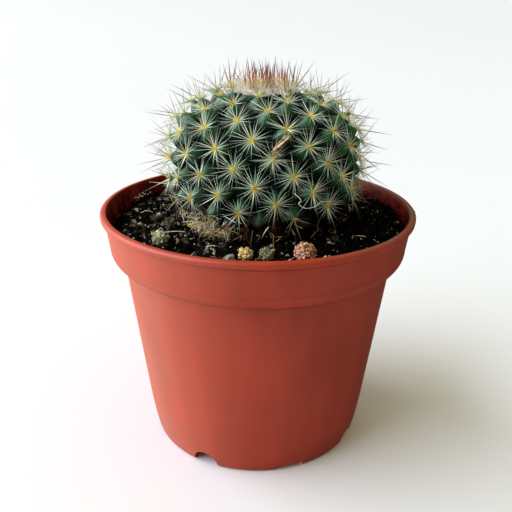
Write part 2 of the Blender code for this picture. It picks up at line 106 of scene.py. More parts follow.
# Plant, as in the solids: the surface through the tubercles' tips and their golden-angle rule.
PLANT_X = 1.45 * MM
PLANT_RADIUS = 25.6 * MM
PLANT_WIDEST_Z = 79.8 * MM
CROWN_HEIGHT = 18.3 * MM
CROWN_POWER = 2.66
BASE_HEIGHT = 20.0 * MM
BASE_POWER = 2.5
BASE_CUT = 0.81
BASE_DROP = 1.2 * MM
NECK_RADIUS = 15.0 * MM
NECK_BOTTOM_Z = 50.0 * MM
DIVERGENCE = math.radians(-137.58)
FIRST_ANGLE = math.radians(228.8)
TUBERCLE_AREA = 51.4 * MM * MM
FIRST_SHARE = 1.85
YOUNG_TUBERCLES = 5
YOUNG_SHRINK = 0.66
VALLEY_DEPTH = 4.1 * MM
CROWN_VALLEY_DEPTH = 1.0 * MM
CROWN_REACH = 15.0 * MM
VALLEY_DROOP = 0.5 * MM
LAST_AREOLE_ARC = 47.2 * MM
SPINE_LIFT = 0.28
CROWN_TUFT = (5.5 * MM, 12.0 * MM)
WITHERED_ARC = (43.6 * MM, 46.4 * MM)

# Withered flower, as in the solids.
FLOWER_PATH = ((-83.0, 28.2, -1.2), (-84.0, 28.8, 0.9), (-82.6, 28.1, 2.5), (-80.0, 27.1, 3.4),
               (-77.6, 26.4, 3.5), (-75.6, 26.6, 2.9))
FLOWER_RADII = (0.45, 0.62, 0.72, 0.58, 0.42, 0.22)

# Finer things that only the scene has.
GROOVE = 0.16 * MM                   # depth of the mould's grooves
GROOVE_Z = SHOULDER_Z - 0.45 * MM
BEAD_Z = COLLAR_FOOT_Z - 0.3 * MM
SOIL_AND_SHADE_BAND = 5.0 * MM               # depth under the rim over which the inner wall is painted ever darker, partly as soil that clings to it and partly as painted shade
DUSTY_BAND = 1.6 * MM                # height of the dusty band at the rim
SOIL_REACH = 39.2 * MM               # largest radius of anything that lies on the soil
GRAIN_RING = (15.5 * MM, 41.0 * MM)  # radii round the plant between which things are scattered
SPECK_RING = (18.0 * MM, 41.0 * MM)
FIBRE_RING = (19.0 * MM, 40.0 * MM)
BIG_GRAINS = 0.09                    # share of the grains that are big
WALL_CRUMBS = 260
BODY_ROWS = 0.94                     # share of the skin's rows above the neck
SLOPE_STEP = 0.3 * MM
CORKY_SHADE_ARC = 45.5 * MM                  # where the skin begins to turn corky and darker as painted shade, and over what width
CORKY_SHADE_WIDTH = 5.0 * MM
WOOL_HAIRS = 1100
WOOL_REACH = 9.0 * MM
TANGLE_NEEDLES = 420
TANGLE_ANGLE = 233.0                 # in degrees: where the tangle is thickest
TANGLE_ARC = (45.5, 54.0)            # in mm from the crown
LITTER_ARC = (48.0, 55.0)            # the same for the thinner litter all round
FLOWER_SCALES = 26
FLOWER_SIDES = 24
CLOD_SHARE = 0.41                    # clods' half size in their box: their crumbs fill the rest
CLOD_CRUMBS = 60                     # crumbs for each mm of a clod's half diagonal
CLOD_NOISE = ((1.0, 0.8), (0.6, 1.9), (0.3, 4.0))    # shares of noise, from coarse to fine
FLOOR_SIDE = 3.0                     # floor's half width, and below its depth and the wall behind it
FLOOR_DEPTH = 3.0
SWEEP_STEP = 0.35
BACKDROP = 2.5
CAMERA_TARGET = Vector((2.77 * MM, 0.0, 44.49 * MM))
CAMERA_DISTANCE = 195.48 * MM
CAMERA_TILT = math.radians(23.87)
CAMERA_ROLL = math.radians(1.09)
SPINE_LAYERS = ("along", "young", "shade", "worn")


# ---------------------------------------------------------------- small tools

def srgb(hex_colour):
    """Linear RGBA of an sRGB hex colour."""
    channels = [int(hex_colour[i:i + 2], 16) / 255.0 for i in (0, 2, 4)]
    linear = [c / 12.92 if c <= 0.04045 else ((c + 0.055) / 1.055) ** 2.4 for c in channels]
    return (*linear, 1.0)


def add(material, kind, sockets=None, stops=None, **settings):
    """Add a node with its settings, values, links and colour stops, and return it."""
    tree = material.node_tree
    node = tree.nodes.new("ShaderNode" + kind)
    for name, value in settings.items():
        setattr(node, name, value)
    for socket, value in (sockets or {}).items():
        if isinstance(value, bpy.types.NodeSocket):
            tree.links.new(value, node.inputs[socket])
        else:
            node.inputs[socket].default_value = value
    for place, (position, colour) in enumerate(stops or ()):
        ramp = node.color_ramp.elements
        element = ramp[place] if place < len(ramp) else ramp.new(position)
        element.position = position
        element.color = srgb(colour)
    return node


def blank(name):
    """A material whose node tree is empty."""
    material = bpy.data.materials.new(name)
    material.use_nodes = True
    material.node_tree.nodes.clear()
    return material


def per_mm(size):
    """Scale of a texture whose features are this many millimetres across."""
    return 1000.0 / size


class Look:
    """Nodes of a material or a world, with a short call for each kind."""

    def __init__(self, owner, coordinates="Object"):
        self.owner = owner
        self.where = add(owner, "TexCoord").outputs[coordinates]

    def add(self, kind, sockets, **settings):
        return add(self.owner, kind, sockets, **settings).outputs[0]

    def layer(self, name):
        return add(self.owner, "Attribute", attribute_name=name).outputs["Fac"]

    def stretched(self, scale, rotation=(0.0, 0.0, 0.0)):
        """The coordinates, scaled and turned."""
        return self.add("Mapping", {"Vector": self.where, "Scale": scale, "Rotation": rotation})

    def noise(self, size, detail, coarse=0.5, where=None, distortion=0.0):
        """Noise whose features have a size in mm."""
        return self.add("TexNoise", {
            "Vector": self.where if where is None else where, "Scale": per_mm(size),
            "Detail": detail, "Roughness": coarse, "Distortion": distortion})

    def maths(self, operation, *values):
        return self.add("Math", dict(enumerate(values)), operation=operation)

    def span(self, value, start=(0.0, 1.0), end=(0.0, 1.0)):
        """A value taken from one range to another."""
        return self.add("MapRange", {"Value": value, "From Min": start[0], "From Max": start[1],
                                     "To Min": end[0], "To Max": end[1]})

    def mix(self, share, low, high, **settings):
        """A colour between two, which are sockets, linear values or sRGB hex."""
        low, high = (srgb(end) if isinstance(end, str) else end for end in (low, high))
        sockets = {0: share, 6: low, 7: high}
        return add(self.owner, "Mix", sockets, data_type="RGBA", **settings).outputs[2]

    def ramp(self, share, stops):
        return self.add("ValToRGB", {0: share}, stops=stops)

    def bump(self, height, strength, distance, **under):
        """Relief from a height, with its distance in mm, over an earlier one if given."""
        return self.add("Bump", {"Height": height, "Strength": strength,
                                 "Distance": distance * MM, **under})

    def finished(self, colour, roughness, **more):
        """Close the material with its shader. Spaces in the inputs' names are underscores here."""
        sockets = {name.replace("_", " "): value for name, value in more.items()}
        shader = self.add("BsdfPrincipled", {"Base Color": colour, "Roughness": roughness, **sockets})
        add(self.owner, "OutputMaterial", {"Surface": shader})
        return self.owner


def toned(name, noise, share, shift, stops, relief, roughness, **more):
    """Material of small bits that each have a tone of their own, mottled by fine noise."""
    look = Look(blank(name))
    fine = look.noise(*noise)
    tone = look.maths("MULTIPLY_ADD", fine, share, look.layer("tone"))
    if shift:
        tone = look.maths("SUBTRACT", tone, shift)
    if relief:
        more["Normal"] = look.bump(fine, *relief)
    return look.finished(look.ramp(tone, stops), roughness, **more)


def to_mesh(bm, name):
    """Turn a bmesh into a mesh, and free it."""
    mesh = bpy.data.meshes.new(name)
    bm.to_mesh(mesh)
    bm.free()
    return mesh


def linked(name, data):
    """New object in the scene."""
    thing = bpy.data.objects.new(name, data)
    bpy.context.scene.collection.objects.link(thing)
    return thing


def finish(name, bm, material, slot, replaces=(), crease=None):
    """Make a bmesh a smooth piece with its material, attach it to the root, and hide the solids that it
    replaces.
    """
    mesh = to_mesh(bm, name)
    mesh.materials.append(material)
    piece = linked(name, mesh)
    mesh.shade_smooth()
    if crease is not None:
        mesh.set_sharp_from_angle(angle=math.radians(crease))
    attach(piece, "root")
    if replaces:
        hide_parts(*replaces)
    return piece


def template(bm, name):
    """Keep a small bmesh as a mesh that is stamped many times."""
    bmesh.ops.recalc_face_normals(bm, faces=bm.faces)
    return to_mesh(bm, name)


def stamp(bm, mesh, place, layers=()):
    """Copy a template into a bmesh at a place and give its corners values, and return them."""
    start = len(bm.verts)
    bm.from_mesh(mesh)
    bm.verts.ensure_lookup_table()
    corners = [bm.verts[i] for i in range(start, len(bm.verts))]
    for layer, value in layers:
        for corner in corners:
            corner[layer] = corner.co.z if value is None else value
    bmesh.ops.transform(bm, matrix=place, verts=corners)
    return corners


def float_layers(bm, *names):
    return [bm.verts.layers.float.new(name) for name in names]


def new_bits(*names):
    """An empty bmesh and its float layers."""
    bm = bmesh.new()
    return bm, *float_layers(bm, *names)


def tumbled(rng):
    """Random rotation."""
    return Euler([rng.uniform(0.0, TURN) for _ in range(3)]).to_matrix().to_4x4()


def jolt(rng, reach):
    """Random vector, up to reach in each direction."""
    return Vector([rng.uniform(-reach, reach) for _ in range(3)])


def clamped(value, low=0.0, high=1.0):
    return min(max(value, low), high)


def scaled(vector, sizes):
    """Vector with each coordinate scaled by its own size."""
    return Vector([a * b for a, b in zip(vector, sizes)])


def pointing(direction):
    """Rotation that turns +Z to a direction."""
    return Vector(direction).to_track_quat("Z", "Y").to_matrix().to_4x4()


def placed(root, direction, radius, length, roll=0.0):
    """Matrix that stands a unit template on a root, with its own radius and length."""
    size = Matrix.Diagonal((radius, radius, length, 1.0))
    return Matrix.Translation(root) @ pointing(direction) @ Matrix.Rotation(roll, 4, "Z") @ size


def extruded(bm, edges):
    """Extrude edges, and return the new corners and edges."""
    grown = bmesh.ops.extrude_edge_only(bm, edges=edges)["geom"]
    return [[item for item in grown if isinstance(item, kind)]
            for kind in (bmesh.types.BMVert, bmesh.types.BMEdge)]


def needle(sides, shares, widths, bend):
    """Unit needle up +Z: rings at shares of its length, with widths, bent sideways, and a point."""
    bm = bmesh.new()
    ring = bmesh.ops.create_circle(bm, segments=sides, radius=widths[0])["verts"]
    edges = list(bm.edges)
    for before, share, old, width in zip(shares, shares[1:], widths, widths[1:]):
        ring, edges = extruded(bm, edges)
        middle = Vector((bend * before ** 2, 0.0, before))
        bmesh.ops.scale(bm, vec=(width / old,) * 3, space=Matrix.Translation(-middle), verts=ring)
        step = Vector((bend * (share ** 2 - before ** 2), 0.0, share - before))
        bmesh.ops.translate(bm, verts=ring, vec=step)
    bmesh.ops.pointmerge(bm, verts=ring, merge_co=(bend, 0.0, 1.0))
    return template(bm, "needle")


def rough_bit(subdivisions, roughness, seed):
    """Unit lump with an uneven surface."""
    bm = bmesh.new()
    bmesh.ops.create_icosphere(bm, subdivisions=subdivisions, radius=1.0)
    for vert in bm.verts:
        vert.co *= 1.0 + roughness * noise.noise(vert.co * 1.3 + Vector((seed, 2.0 * seed, 0.0)))
    return template(bm, "rough_bit")


def ring_edges(bm, ring):
    members = set(ring)
    return [edge for edge in bm.edges if edge.verts[0] in members and edge.verts[1] in members]


def tube(bm, path, radii, sides):
    """Closed tube through points with a radius at each, from circles bridged in turn."""
    rings = []
    for i, (centre, radius) in enumerate(zip(path, radii)):
        along = path[min(i + 1, len(path) - 1)] - path[max(i - 1, 0)]
        place = Matrix.Translation(centre) @ pointing(along)
        ring = bmesh.ops.create_circle(bm, segments=sides, radius=radius, matrix=place)["verts"]
        rings.append(ring_edges(bm, ring))
    for lower, upper in zip(rings, rings[1:]):
        bmesh.ops.bridge_loops(bm, edges=lower + upper)
    bmesh.ops.holes_fill(bm, edges=rings[0] + rings[-1], sides=sides)


def curve_through(points, count):
    """Points of a smooth curve through given ones (Catmull-Rom)."""
    ends = [points[0] * 2.0 - points[1]] + list(points) + [points[-1] * 2.0 - points[-2]]
    path = []
    for k in range(count):
        place = k / (count - 1) * (len(points) - 1)
        i = min(int(place), len(points) - 2)
        t = place - i
        a, b, c, d = ends[i:i + 4]
        path.append(0.5 * (2.0 * b + (c - a) * t + (2.0 * a - 5.0 * b + 4.0 * c - d) * t ** 2
                           + (3.0 * b - a - 3.0 * c + d) * t ** 3))
    return path


def turned(outline, segments):
    """Solid of revolution from (radius, z) points that start and end on the axis."""
    bm = bmesh.new()
    verts = [bm.verts.new((radius, 0.0, z)) for radius, z in outline]
    edges = [bm.edges.new(pair) for pair in zip(verts, verts[1:])]
    bmesh.ops.spin(bm, geom=verts + edges, axis=(0, 0, 1), cent=(0, 0, 0), angle=TURN,
                   steps=segments, use_merge=True, use_duplicate=False)
    bmesh.ops.remove_doubles(bm, verts=bm.verts, dist=0.001 * MM)
    bmesh.ops.dissolve_degenerate(bm, edges=bm.edges, dist=0.001 * MM)
    bmesh.ops.recalc_face_normals(bm, faces=bm.faces)
    return bm


def quarter(centre, radii, start, end, steps):
    """Points on an ellipse's arc, in the (radius, z) plane."""
    angles = np.linspace(start, end, steps + 1)
    return [(centre[0] + radii[0] * math.cos(a), centre[1] + radii[1] * math.sin(a)) for a in angles]


# ---------------------------------------------------------------- the pot's and the plant's rules

def wall_radius(z):
    """Outer radius of the tapering wall, with the inward curve of the foot."""
    slope = (SHOULDER_RADIUS - TAPER_FOOT_RADIUS) / (SHOULDER_Z - TAPER_FOOT_Z)
    radius = TAPER_FOOT_RADIUS + slope * (z - TAPER_FOOT_Z)
    if z < TAPER_FOOT_Z:
        radius -= FOOT_TUCK * (1.0 - z / TAPER_FOOT_Z) ** 2
    return radius


def inside_outline(clearance, top_z, steps):
    """Inner face of the pot from top_z down to the floor's middle, moved inwards by clearance."""
    share = (top_z - COLLAR_FOOT_Z) / (POT_HEIGHT - LIP_HEIGHT - COLLAR_FOOT_Z)
    top_radius = COLLAR_FOOT_RADIUS + share * (COLLAR_TOP_RADIUS - COLLAR_FOOT_RADIUS) - WALL
    ledge = (SHOULDER_RADIUS - WALL, COLLAR_FOOT_Z + 0.3 * WALL)
    ledge_width = COLLAR_FOOT_RADIUS - SHOULDER_RADIUS - clearance
    ledge_height = ledge[1] - SHOULDER_Z - WALL - clearance
    points = [(top_radius - clearance, top_z)]
    points += quarter(ledge, (ledge_width, ledge_height), 0.0, -math.pi / 2, steps)
    points[-1] = (ledge[0] - clearance, points[-1][1])
    for z in (TAPER_FOOT_Z, FLOOR_TOP_Z + WALL + clearance):
        points.append((wall_radius(z) - WALL - clearance, z))
    points.append((wall_radius(FLOOR_TOP_Z) - 2 * WALL - clearance, FLOOR_TOP_Z + clearance))
    points.append((0.0, FLOOR_TOP_Z + clearance))
    return points


def soil_height(x, y):
    """Height of the soil's surface, as in the solids."""
    radius = math.hypot(x - PLANT_X, y)
    heap = SOIL_HEAP * math.exp(-((radius - SOIL_HEAP_RADIUS) / SOIL_HEAP_WIDTH) ** 2)
    fade = min(max((radius - NECK_RADIUS) / SOIL_BUMP_FADE, 0.0), 1.0)
    bump = SOIL_BUMP * noise.noise(Vector((x, y, 0.0)) / SOIL_BUMP_SIZE)
    return SOIL_LEVEL + SOIL_TILT * x + heap + fade * bump


class Meridian:
    """Half outline of the plant from the crown to the base, read by the arc from the crown."""

    def __init__(self, samples=1500):
        turn = np.linspace(0.0, math.pi - math.acos(BASE_CUT ** (BASE_POWER / 2)), samples)
        upper = np.cos(turn) >= 0
        power = np.where(upper, CROWN_POWER, BASE_POWER)
        height = np.where(upper, CROWN_HEIGHT, BASE_HEIGHT)
        self.radius = PLANT_RADIUS * np.sin(turn) ** (2 / power)
        self.z = PLANT_WIDEST_Z + height * np.sign(np.cos(turn)) * np.abs(np.cos(turn)) ** (2 / power)
        step = np.hypot(np.diff(self.radius), np.diff(self.z))
        belt = TURN * step * (self.radius[1:] + self.radius[:-1]) / 2
        self.arc = np.concatenate(([0.0], np.cumsum(step)))
        self.area = np.concatenate(([0.0], np.cumsum(belt)))

    def arc_at_area(self, area):
        return float(np.interp(area, self.area, self.arc))

    def point(self, angle, arc, height=0.0):
        """Point at an angle and arc, raised by height along the outward normal."""
        radius = float(np.interp(arc, self.arc, self.radius))
        z = float(np.interp(arc, self.arc, self.z))
        out = Vector((math.cos(angle), math.sin(angle), 0.0))
        return Vector((PLANT_X, 0.0, z)) + out * radius + self.normal(angle, arc) * height

    def normal(self, angle, arc):
        near = (max(arc - 0.4 * MM, 0.0), min(arc + 0.4 * MM, self.arc[-1]))
        rise = np.interp(near, self.arc, self.z)
        reach = np.interp(near, self.arc, self.radius)
        normal = Vector((rise[0] - rise[1], reach[1] - reach[0])).normalized()
        return Vector((math.cos(angle) * normal.x, math.sin(angle) * normal.x, normal.y))


MERIDIAN = Meridian()


def spiral():
    """Angle and arc of each tubercle, from the crown's young ones down to the base."""
    places = []
    for i in range(-YOUNG_TUBERCLES, 10000):
        share = i + FIRST_SHARE if i >= 0 else FIRST_SHARE * YOUNG_SHRINK ** -i
        if share * TUBERCLE_AREA > MERIDIAN.area[-1]:
            return places
        arc = MERIDIAN.arc_at_area(share * TUBERCLE_AREA)
        places.append((FIRST_ANGLE + i * DIVERGENCE, arc))


PLACES = spiral()


# ---------------------------------------------------------------- sizes and colours

def whole(name, description, default, low=0):
    return bpy.props.IntProperty(name=name, description=description, default=default, min=low)


def number(name, description, default, **settings):
    return bpy.props.FloatProperty(name=name, description=description, default=default, **settings)


def length(name, description, default):
    return number(name, description, default, unit="LENGTH")


def angle(name, description, degrees):
    return number(name, description, math.radians(degrees), subtype="ANGLE")


def paint(name, description, hex_colour):
    return bpy.props.FloatVectorProperty(
        name=name, description=description, subtype="COLOR", size=4, default=srgb(hex_colour))


class PotSettings(bpy.types.PropertyGroup):
    segments: whole("Segments", "Facets round the pot", 192, 24)
    colour: paint("Plastic", "Colour of the plastic", "A9351B")
    roughness: number("Roughness", "Satin finish of the moulding", 0.42, min=0.0, max=1.0,
                      subtype="FACTOR")


class SoilSettings(bpy.types.PropertyGroup):
    grains: whole("Grains", "Loose bits on the soil", 4200)
    relief: length("Relief", "Height of the soil's crumbs", 1.5 * MM)
    fibres: whole("Fibres", "Peat fibres and fallen spines", 170)


class SkinSettings(bpy.types.PropertyGroup):
    rows: whole("Rows", "Rows of the skin's mesh", 170, 20)
    columns: whole("Columns", "Columns of the skin's mesh", 360, 20)
    peak: number("Peak", "Shape of the tubercles: 1 is a cone, 2 is a dome", 1.5, min=1.0, max=3.0)
    flank: paint("Flank", "Colour of the tubercles' flanks", "356E45")
    # Near-black hollow colour: painted shade between the tubercles.
    hollow_shade: paint("Hollow", "Colour between the tubercles", "030705")


class SpineSettings(bpy.types.PropertyGroup):
    radials: whole("Radials", "Spines that spread round each areole", 28)
    radial_length: length("Radial length", "Length of the spreading spines", 5.2 * MM)
    central_length: length("Central length", "Length of the long middle spines", 8.8 * MM)
    radial_width: length("Radial thickness", "Thickness at the root", 0.135 * MM)
    central_width: length("Central thickness", "Thickness at the root", 0.28 * MM)
    spread: angle("Spread", "Angle of the radial spines from the tubercle's axis", 74.0)
    crown_spread: angle("Crown spread", "The same in the tuft at the crown", 34.0)


class StageSettings(bpy.types.PropertyGroup):
    floor: paint("Floor", "Colour of the floor", "ECEBF2")
    key: number("Key light", "Strength of the window light", 5.1)
    direction: angle("Direction", "Side that the window light comes from", 187.0)
    height: angle("Height", "Angle of the window light over the floor", 31.0)
    softness: angle("Softness", "Width of the window, seen from the pot", 78.0)
    fill: number("Fill light", "Strength of the light from above", 0.34)
    sheen: number("Sheen", "Brightness of the window side in reflections", 2.7)


GROUPS = {"pot": PotSettings, "soil": SoilSettings, "skin": SkinSettings, "spines": SpineSettings,
          "stage": StageSettings}


class CactusSettings(bpy.types.PropertyGroup):
    pot: bpy.props.PointerProperty(type=PotSettings, name="Pot", description="The pot")
    soil: bpy.props.PointerProperty(type=SoilSettings, name="Soil", description="The soil")
    skin: bpy.props.PointerProperty(type=SkinSettings, name="Skin", description="The plant's body")
    spines: bpy.props.PointerProperty(type=SpineSettings, name="Spines", description="The spines")
    stage: bpy.props.PointerProperty(type=StageSettings, name="Stage", description="Floor and light")


# ---------------------------------------------------------------- pot

def pot_outline():
    """Closed section of the pot, with the shallow steps that the mould leaves at the shoulder."""
    lip_z = POT_HEIGHT - LIP_HEIGHT
    floor_z = FLOOR_TOP_Z - WALL
    foot_radius = wall_radius(0.0)
    points = [(0.0, floor_z), (wall_radius(floor_z) - FOOT_WALL, floor_z)]
    points += [(foot_radius - FOOT_WALL - 0.2 * MM, 0.0), (foot_radius - FOOT_EDGE, 0.0)]
    points += quarter((foot_radius - FOOT_EDGE, FOOT_EDGE), (FOOT_EDGE, FOOT_EDGE),
                      -math.pi / 2, 0.0, 4)[1:-1]
    points += [(wall_radius(z), z) for z in np.linspace(FOOT_EDGE, TAPER_FOOT_Z, 8)]
    points += [(wall_radius(z), z) for z in np.linspace(TAPER_FOOT_Z, SHOULDER_Z - 1.0 * MM, 9)[1:]]
    points += [(SHOULDER_RADIUS - GROOVE, GROOVE_Z), (SHOULDER_RADIUS, SHOULDER_Z)]
    shoulder = (SHOULDER_RADIUS, COLLAR_FOOT_Z)
    shoulder_size = (COLLAR_FOOT_RADIUS - SHOULDER_RADIUS, COLLAR_FOOT_Z - SHOULDER_Z)
    points += quarter(shoulder, shoulder_size, -math.pi / 2, 0.0, 12)[1:-1]
    points += [(COLLAR_FOOT_RADIUS - 0.35 * GROOVE, BEAD_Z),
               (COLLAR_FOOT_RADIUS, COLLAR_FOOT_Z + 0.2 * MM),
               (COLLAR_TOP_RADIUS, lip_z - 0.5 * MM),
               (COLLAR_TOP_RADIUS - 0.15 * MM, lip_z - 0.2 * MM),
               (COLLAR_TOP_RADIUS - 0.15 * MM, lip_z + 0.05 * MM),
               (LIP_RADIUS - 0.3 * MM, lip_z), (LIP_RADIUS - 0.08 * MM, lip_z + 0.25 * MM)]
    rounding = (LIP_RADIUS - LIP_ROUND[0], POT_HEIGHT - LIP_ROUND[1])
    points += quarter(rounding, LIP_ROUND, 0.0, math.pi / 2, 8)
    points += [(LIP_INNER_RADIUS + 0.12 * MM, POT_HEIGHT),
               (LIP_INNER_RADIUS, POT_HEIGHT - 0.15 * MM),
               (LIP_INNER_RADIUS - 0.04 * MM, POT_HEIGHT - 0.6 * MM)]
    inside = inside_outline(0.0, lip_z, 12)
    low = inside_outline(0.0, SOIL_LEVEL, 12)[0]
    return points + [(LIP_INNER_RADIUS - 0.15 * MM, lip_z), low] + inside[1:]


def crease_share(radius, z):
    """1 in the grooves under the lip and at the shoulder, which are painted darker as shade, and 0
    elsewhere.
    """
    grooves = ((COLLAR_TOP_RADIUS, POT_HEIGHT - LIP_HEIGHT - 0.1 * MM, 1.0),
               (COLLAR_FOOT_RADIUS, BEAD_Z, 0.3), (SHOULDER_RADIUS, GROOVE_Z, 1.0))
    return max(depth * max(1.0 - math.hypot(radius - r, z - height) / (0.3 * MM), 0.0)
               for r, height, depth in grooves)


def radial_matrix(angle, z):
    """Frame whose X runs out from the pot's axis at an angle, at a height."""
    return Matrix.Rotation(angle, 4, "Z") @ Matrix.Translation((0.0, 0.0, z))


def pot_cutter():
    """Arched and flat notches through the foot ring, and the drain holes in the floor."""
    bm = bmesh.new()
    reach = NOTCH_REACH[1] - NOTCH_REACH[0]
    middle = Matrix.Translation((sum(NOTCH_REACH) / 2, 0.0, 0.0))
    for i in range(NOTCH_PAIRS):
        angle = ARCH_FIRST_ANGLE + TURN * i / NOTCH_PAIRS
        lying = middle @ Matrix.Rotation(math.pi / 2, 4, "Y")
        bmesh.ops.create_cone(bm, cap_ends=True, segments=48, radius1=ARCH_RADIUS,
                              radius2=ARCH_RADIUS, depth=reach,
                              matrix=radial_matrix(angle, ARCH_CENTRE_Z) @ lying)
        size = Matrix.Diagonal((reach, FLAT_WIDTH, 2 * FLAT_HEIGHT, 1.0))
        flat = bmesh.ops.create_cube(
            bm, size=1.0, matrix=radial_matrix(angle + FLAT_TURN, 0.0) @ middle @ size)["verts"]
        edges = [edge for edge in ring_edges(bm, flat)
                 if all(vert.co.z > 0.0 for vert in edge.verts) and edge.calc_length() > 0.9 * reach]
        bmesh.ops.bevel(bm, geom=edges, affect="EDGES", offset=0.5 * MM, offset_type="OFFSET",
                        segments=3, profile=0.5, material=-1)
        place = radial_matrix(angle, FLOOR_TOP_Z) @ Matrix.Translation((DRAIN_CIRCLE, 0.0, 0.0))
        bmesh.ops.create_cone(bm, cap_ends=True, segments=40, radius1=DRAIN_RADIUS,
                              radius2=DRAIN_RADIUS, depth=4 * WALL, matrix=place)
    return linked("pot_cutter", to_mesh(bm, "pot_cutter"))


def carve(piece, cutter):
    """Cut one object's shape out of a piece's mesh, and drop the cutter."""
    cut = piece.modifiers.new("openings", "BOOLEAN")
    cut.operation = "DIFFERENCE"
    cut.solver = "EXACT"
    cut.object = cutter
    bpy.context.view_layer.update()
    graph = bpy.context.evaluated_depsgraph_get()
    mesh = bpy.data.meshes.new_from_object(piece.evaluated_get(graph))
    piece.modifiers.clear()
    piece.data = mesh
    bpy.data.objects.remove(cutter)


def moulded_polypropylene(settings):
    """Injection-moulded polypropylene: satin, with faint flow marks and dust where soil touched it. Its
    inner wall is painted dark maroon, partly as clinging soil and partly as painted shade, and its
    grooves are painted dark as shade.
    """
    look = Look(blank("moulded_polypropylene_terracotta"))
    flow = look.noise(7.0, 3.0, where=look.stretched((1.0, 1.0, 0.12)))
    cloud = look.noise(22.0, 2.0)
    smear = look.noise(3.0, 5.0)
    dark = [0.86 * c for c in settings.colour[:3]] + [1.0]
    pale = [min(1.1 * c, 1.0) for c in settings.colour[:3]] + [1.0]
    plastic = look.mix(look.span(look.maths("ADD", flow, cloud), (0.75, 1.25)), dark, pale)
    # Painted shade and clinging soil: the inner wall goes dark maroon, more so deeper down.
    soiled_and_shaded = look.layer("soiled_and_shaded")
    dirt_and_shade = look.span(look.maths("MULTIPLY_ADD", soiled_and_shaded, smear, -0.18), (0.0, 0.35))
    mud_and_shade = look.ramp(smear, ((0.4, "460410"), (0.58, "3C040C"), (0.7, "5A2E1A")))
    # Painted shade in the grooves under the lip and at the shoulder: dark red-brown.
    crease_shade = look.span(look.layer("crease"), end=(0.0, 0.6))
    crease_shaded = look.mix(crease_shade, look.mix(dirt_and_shade, plastic, mud_and_shade), "4F130B")
    scuff = look.noise(4.5, 6.0, 0.72, look.stretched((1.0, 1.0, 3.5), (0.3, 0.2, 0.0)), 1.2)
    scuffed = look.mix(look.span(scuff, (0.64, 0.78), (0.0, 0.3)), crease_shaded, "B9654E")
    dust = look.span(look.maths("MULTIPLY", look.layer("dusty"), smear), (0.1, 0.5), (0.0, 0.85))
    gloss = look.span(cloud, (0.3, 0.7), (settings.roughness - 0.06, settings.roughness + 0.08))
    grain = look.bump(look.noise(0.9, 2.0), 0.12, 0.05)
    return look.finished(look.mix(dust, scuffed, "7B5341"), gloss, IOR=1.49,
                         Specular_IOR_Level=look.span(soiled_and_shaded, end=(0.5, 0.06)),
                         Normal=look.bump(flow, 0.25, 0.15, Normal=grain))


class CACTUS_OT_pot(bpy.types.Operator):
    """Turn the pot's thin wall, cut its notches and drain holes, and give it its plastic"""
    bl_idname = "cactus.pot"
    bl_label = "Make the pot"

    def execute(self, context):
        settings = context.scene.cactus.pot
        bm = turned(pot_outline(), settings.segments)
        bm.normal_update()
        soiled_and_shaded, crease, dusty = float_layers(bm, "soiled_and_shaded", "crease", "dusty")
        for vert in bm.verts:
            x, y, z = vert.co
            inside = vert.normal.x * x + vert.normal.y * y < -0.2 * COLLAR_FOOT_RADIUS
            # Inner wall above the collar: painted dark as clinging soil and as painted shade, darker
            # deeper down and towards +X.
            if z > COLLAR_FOOT_Z and inside:
                shaded = 0.08 * max(x / LIP_RADIUS, 0.0)
                vert[soiled_and_shaded] = 0.5 + shaded + clamped((POT_HEIGHT - z) / SOIL_AND_SHADE_BAND, 0.0, 0.5)
            if z > POT_HEIGHT - DUSTY_BAND and (inside or vert.normal.z > 0.5):
                vert[dusty] = clamped(1.3 * x / LIP_RADIUS - 0.2)
            # Painted shade in the grooves.
            vert[crease] = crease_share(math.hypot(x, y), z)
        pot = finish("pot_shell", bm, moulded_polypropylene(settings), "pot_plastic", ["pot"])
        carve(pot, pot_cutter())
        pot.data.shade_smooth()
        pot.data.set_sharp_from_angle(angle=math.radians(32.0))
        return {"FINISHED"}


# ---------------------------------------------------------------- soil

def crumbs(x, y):
    """Fine relief of the soil, from 0 to about 1."""
    spot = Vector((x, y, 0.0))
    coarse = noise.noise(spot / (3.1 * MM))
    middle = noise.noise(spot / (1.5 * MM) + Vector((7.0, 0.0, 0.0)))
    fine = noise.noise(spot / (0.7 * MM) + Vector((0.0, 9.0, 0.0)))
    return 0.5 * coarse + 0.38 * middle + 0.22 * fine


def potting_soil():
    """Moist peat potting soil: near black, matt, with brown and grey crumbs."""
    look = Look(blank("peat_potting_soil"))
    crumb = look.noise(1.4, 8.0, 0.7)
    tone = look.span(look.maths("ADD", crumb, look.noise(9.0, 2.0)), (0.7, 1.4))
    colour = look.ramp(tone, ((0.0, "020101"), (0.45, "050202"), (0.75, "110909"), (1.0, "30241E")))
    return look.finished(colour, 0.88, Specular_IOR_Level=0.06, Normal=look.bump(crumb, 1.0, 0.6))


def loose_grit():
    """Loose bits of peat, bark, sand and a little white perlite."""
    return toned("peat_bark_and_grit", (0.6, 4.0), 0.16, 0.08, (
        (0.0, "020101"), (0.5, "060303"), (0.7, "1A100F"), (0.82, "54463C"), (0.91, "A89C8A"),
        (1.0, "EDE9E2")), (0.6, 0.2), 0.85, Specular_IOR_Level=0.06)


def soil_spot(rng, inner, outer):
    """Random place on the soil between two radii round the plant, kept inside the pot's wall."""
    while True:
        radius = math.sqrt(rng.uniform(inner ** 2, outer ** 2))
        angle = rng.uniform(0.0, TURN)
        x, y = PLANT_X + radius * math.cos(angle), radius * math.sin(angle)
        if math.hypot(x, y) < SOIL_REACH:
            return Vector((x, y, soil_height(x, y)))


